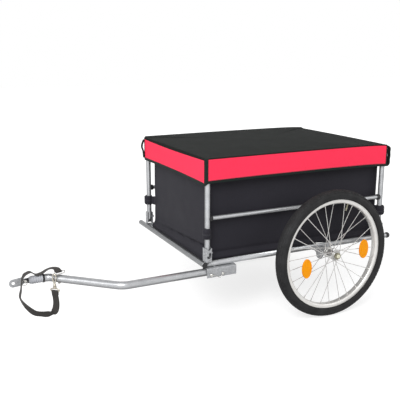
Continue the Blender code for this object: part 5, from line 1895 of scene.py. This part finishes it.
@dataclass
class Hitch(Assembly):
    """The hitch plate with its pin, and the pin that locks the bar in its bracket."""

    pivot_x: float = -1.0050
    head_y: float = -0.0209

    def build(self) -> None:
        """Builds the plate and the two pull pins."""
        self.bench.keep("hitch_plate", ZINC)
        self.dress("hitch_pin", self.hitch_pin(), BRIGHT,
                   at(self.pivot_x, PLAN.hitch_y, PLAN.tow_z), body="hitch_pin")
        self.dress("tow_lock_pin", self.lock_pin(), BRIGHT,
                   at(PLAN.cross_pin_x, PLAN.tow_y, PLAN.cross_pin_z), body="lock_pin")

    @staticmethod
    def hitch_pin() -> Skin:
        """The pin through the clevis, with the wire ring through its head.

        Returns:
            Its skin.
        """
        shank = [(-0.0052, 0.0030), (0.0065, 0.0030), (0.0078, 0.0025), (0.0085, 0.0014)]
        head = [(-0.0082, 0.0030), (-0.0081, 0.0042), (-0.0075, 0.0050), (-0.0057, 0.0050),
                (-0.0052, 0.0047)]
        circle = arc((-0.0035, -0.0050), 0.0095, 0, 360, 48)[:-1]
        skin = Skin().turn(shank, Axis.Y, 24).turn(head, Axis.Y, 28)
        return skin.bar(upright(circle, -0.0067), 0.0011, Y, 12, True)

    def lock_pin(self) -> Skin:
        """The pull pin with its wire clip.

        Returns:
            Its skin.
        """
        shank = [(-0.0188, 0.0040), (0.0225, 0.0040), (0.0238, 0.0032), (0.0245, 0.0018)]
        head = [(-0.0230, 0.0040), (-0.0229, 0.0052), (-0.0219, 0.0064), (self.head_y, 0.0070),
                (-0.0194, 0.0070), (-0.0188, 0.0065)]
        corners = upright(((0.005, -0.0004), (0.034, -0.013), (0.04, -0.005)), self.head_y)
        skin = Skin().turn(shank, Axis.Y, 24).turn(head, Axis.Y, 32)
        return skin.bar(bent_path(corners, (0.0025,)), 0.0013, Y, 12)


@dataclass
class SafetyStrap(Assembly):
    """The webbing from the strap ring round the hitch to the snap hook, with the hook itself."""

    half: float = 0.0125
    thick: float = 0.0016
    lap_r: float = 0.0028
    step: float = 0.003
    ring_z: float = 0.2515
    hook_at: Spot = (-0.910451, -0.127244, 0.2401)
    eye_z: float = 0.1846
    hook_turn: float = 136.94

    body = "tow"
    ROUTE = ((-0.9050, -0.1010, 0.2612, 45, 0), (-0.9170, -0.0955, 0.2600, 65, 0),
             (-0.9310, -0.0928, 0.2545, 82, 0), (-0.9451, -0.0925, 0.2470, 90, 0),
             (-0.9663, -0.0925, 0.2434, 90, 0), (-0.9834, -0.0925, 0.2554, 90, 0),
             (-0.9949, -0.0960, 0.2560, 90, 0), (-1.0080, -0.1070, 0.2530, 90, 0),
             (-1.0177, -0.1130, 0.2424, 90, 0), (-1.0218, -0.1135, 0.2209, 90, 0),
             (-1.0240, -0.1130, 0.2029, 90, -2), (-1.0290, -0.1130, 0.1782, 90, -8),
             (-1.0215, -0.1135, 0.1585, 90, -22), (-1.0051, -0.1150, 0.1338, 90, -44),
             (-0.9827, -0.1170, 0.1116, 90, -60), (-0.9591, -0.1190, 0.1041, 90, -66),
             (-0.9345, -0.1215, 0.1010, 90, -72), (-0.9150, -0.1240, 0.1090, -24, 0),
             (-0.9085, -0.1262, 0.1330, -40, 0), (-0.9092, -0.1272, 0.1600, -44, 0))

    def build(self) -> None:
        """Builds the strap, the hook and its gate."""
        path = self.route()
        places = [point.to_3d() for point in path]
        across = []
        for point, ahead in zip(path, headings(places)):
            wide = turned(math.radians(point[3]))
            wide = (wide - ahead * wide.dot(ahead)).normalized()
            across.append(Matrix.Rotation(math.radians(point[4]), 3, ahead) @ wide)
        skin = Skin().ribbon(places, across, self.half, self.thick, 8)
        strap = self.dress("safety_strap", skin, WEBBING, angle=60)
        hook_place = at(*self.hook_at, math.radians(self.hook_turn))
        hook = self.dress("snap_hook", self.hook(), NICKEL, hook_place)
        gate = self.dress("hook_gate", self.gate(), NICKEL, hook_place, body="gate")
        line = [DATUM + place for place in places]
        length = sum((b - a).length for a, b in zip(line, line[1:]))
        LOG.info("the strap is %.4f m long", length)
        tuple(line[0])
        [tuple(point) for point in line]

    @staticmethod
    def lap(centre: Spot, heading: float, wide: float,
            points: Sequence[Flat]) -> list[tuple[float, ...]]:
        """Guides of an end lapped round a bar.

        Args:
            centre: The bar's middle.
            heading: The direction that the lap leaves in, in degrees.
            wide: The direction of the strap's width, in degrees.
            points: Places along that direction and up from the bar.

        Returns:
            The guides.
        """
        a = math.radians(heading)
        return [(centre[0] + math.cos(a) * run, centre[1] + math.sin(a) * run, centre[2] + up, wide, 0)
                for run, up in points]

    def route(self) -> list[Vector]:
        """The strap's whole route.

        Returns:
            Its points, as place, heading of its width and roll.
        """
        ring = (PLAN.ring_x, PLAN.ring_y, self.ring_z)
        start = self.lap(ring, PLAN.ring_turn + 90, PLAN.ring_turn, (
            (0.0130, 0.0036), (0.0070, 0.0006), *arc((0, 0), self.lap_r, -60, -290, 6),
            (0.0070, 0.0048), (0.0125, 0.0072)))
        eye = (*self.hook_at[:2], self.eye_z)
        end = self.lap(eye, self.hook_turn + 90, self.hook_turn - 180, (
            (0.0012, -0.0150), (0.0024, -0.0060), *arc((0, 0), self.lap_r + 0.0007, 0, 180, 5),
            (-0.0028, -0.0050), (-0.0016, -0.0150)))
        return flowing_path([*start, *self.ROUTE, *end], self.step)

    @staticmethod
    def hook() -> Skin:
        """The snap hook: its bow, its swivel barrel and its eye for the strap.

        Returns:
            Its skin.
        """
        bow = [(-0.0066, -0.0050), *arc((0, 0), 0.0066, 180, 0, 20), (0.0060, -0.0120),
               (0.0044, -0.0185), (0.0026, -0.0250), (0.0008, -0.0300), (0.0, -0.0330)]
        barrel = [(-0.0296, 0.0025), (-0.0300, 0.0040), (-0.0312, 0.0049), (-0.0325, 0.0053),
                  (-0.0345, 0.0054), (-0.0352, 0.0048), (-0.0362, 0.0048), (-0.0370, 0.0059),
                  (-0.0400, 0.0064), (-0.0445, 0.0064), (-0.0455, 0.0058), (-0.0458, 0.0038)]
        half = [(0.0035, -0.0455), (0.0090, -0.0462), (0.0130, -0.0470), (0.0152, -0.0484),
                *arc((0.0123, -0.0513), 0.0042, 0, -90, 6)]
        swell = [0.0019] + [0.0024] * 22 + [0.0025, 0.0026, 0.0028, 0.0029]
        skin = Skin().bar(upright(bow), swell, Y).turn(barrel, Axis.Z, 24)
        skin.bar(upright(half + mirrored(half)), 0.0023, Y, 14, True)
        return skin.bar(upright(((0, -0.0325), (-0.0030, -0.0230))), (0.0030, 0.0021), Y, 14)

    @staticmethod
    def gate() -> Skin:
        """The hook's sprung gate.

        Returns:
            Its skin.
        """
        low, high = upright(((-0.0034, -0.0215), (-0.0061, -0.0058)))
        start = low + (high - low).normalized() * 0.0009
        return Skin().bar([start, start.lerp(high, 0.5), high], (0.0017, 0.0018, 0.0015), Y, 14)


@dataclass
class Studio:
    """A plain pale floor, soft lights and the camera at the photograph's place."""

    eye: Spot = (-1.0628, -2.2420, 1.0230)
    down: float = 13.61
    aside: float = 25.77
    lens: float = 57.4
    floor_half: float = 14.0
    world_level: float = 0.60
    floor_lift: float = 0.69
    far_lift: float = 0.27
    aim: Spot = (0.2, 0.0, 0.35)

    LAMPS = {"key": ((-2.3, -2.7, 3.0), 2.2, 150.0), "right_fill": ((2.8, -2.6, 1.8), 2.4, 30.0),
             "left_fill": ((-3.4, -0.3, 1.5), 2.0, 40.0), "back": ((0.8, 3.0, 3.2), 2.4, 25.0)}

    def build(self) -> None:
        """Builds the studio."""
        self.camera()
        self.floor()
        self.world()
        self.lamps()
        bpy.context.scene.view_settings.view_transform = "Standard"

    def camera(self) -> None:
        """Sets the scene's camera."""
        made = put("camera", bpy.data.cameras.new("camera"))
        made.data.lens, made.data.sensor_width = self.lens, 36.0
        made.data.clip_start, made.data.clip_end = 0.02, 100.0
        made.location = self.eye
        made.rotation_euler = (math.radians(90 - self.down), 0, math.radians(-self.aside))
        bpy.context.scene.camera = made

    @staticmethod
    def direct_view(sheet: NodeSheet) -> Socket:
        """1 for rays from the camera, and for those that gloss and glass send on.

        Args:
            sheet: The nodes to add to.

        Returns:
            The mask.
        """
        path = sheet.node("LightPath").outputs
        both = sheet.calc("MAXIMUM", path["Is Camera Ray"], path["Is Glossy Ray"])
        return sheet.calc("MAXIMUM", both, path["Is Transmission Ray"])

    def floor(self) -> None:
        """The floor, which looks white and keeps the trailer's shadow."""
        mesh = bpy.data.meshes.new("floor")
        corners = [(a * self.floor_half, b * self.floor_half, 0.0) for a, b in CORNERS]
        mesh.from_pydata(corners, [], [(0, 1, 2, 3)])
        material = bpy.data.materials.new("pale_floor")
        material.use_nodes = True
        sheet = NodeSheet(material.node_tree)
        place = sheet.node("TexCoord").outputs["Object"]
        tint = sheet.mix(sheet.clouds(place, 2.0), (0.42, 0.42, 0.42, 1.0), (0.44, 0.44, 0.44, 1.0))
        away = sheet.node("VectorMath", {0: place}, operation="LENGTH").outputs["Value"]
        far = sheet.times(sheet.spread(away, 1.2, 4.5), self.far_lift)
        lift = sheet.times(self.direct_view(sheet), sheet.calc("ADD", far, self.floor_lift))
        shader = material.node_tree.nodes["Principled BSDF"]
        for label, source in {"Base Color": tint, "Roughness": 0.9, "Specular IOR Level": 0.0,
                              "Emission Color": (1.0, 1.0, 1.0, 1.0),
                              "Emission Strength": lift}.items():
            sheet.feed(shader.inputs[label], source)
        mesh.materials.append(material)
        put("floor", mesh)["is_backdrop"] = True

    def world(self) -> None:
        """A white surround that lights the trailer at a lower level than it shows."""
        world = bpy.data.worlds.new("surround")
        world.use_nodes = True
        sheet = NodeSheet(world.node_tree)
        back = world.node_tree.nodes["Background"]
        span = sheet.times(self.direct_view(sheet), 1.0 - self.world_level)
        sheet.feed(back.inputs["Color"], (1.0, 1.0, 1.0, 1.0))
        sheet.feed(back.inputs["Strength"], sheet.calc("ADD", span, self.world_level))
        bpy.context.scene.world = world

    def lamps(self) -> None:
        """Hangs the soft lamps, which all point at the trailer."""
        for name, (place, size, power) in self.LAMPS.items():
            made = put(name, bpy.data.lights.new(name, "AREA"))
            made.data.shape, made.data.size, made.data.energy = "SQUARE", size, power
            made.location = place
            aim = Vector(self.aim) - made.location
            made.rotation_euler = aim.to_track_quat("-Z", "Y").to_euler()


def record_size(cad_box: Sequence[Sequence[float]]) -> None:
    """Lists the CAD model's box and the visual model's box, and does nothing more with them.

    Args:
        cad_box: The CAD model's box, as it was loaded.
    """
    boxes = [[list(corner) for corner in box] for box in (cad_box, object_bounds())]


def main() -> None:
    """Builds the studio and the trailer's sub-assemblies in order."""
    bench = Workbench()
    Studio().build()
    SafetyStrap(bench).build()
    BaseFrame(bench).build()
    FabricBox(bench).build([SideFrame(bench, side).build() for side in Side])
    FittedCover(bench).build()
    for side in Side:
        Wheel(bench, side).build()
    TowBar(bench).build()
    Hitch(bench).build()
    record_size(CAD_BOX)
    LOG.info("the trailer is complete")


if __name__ == "__main__":
    logging.basicConfig(level=logging.INFO, format="%(name)s: %(message)s")
    main()
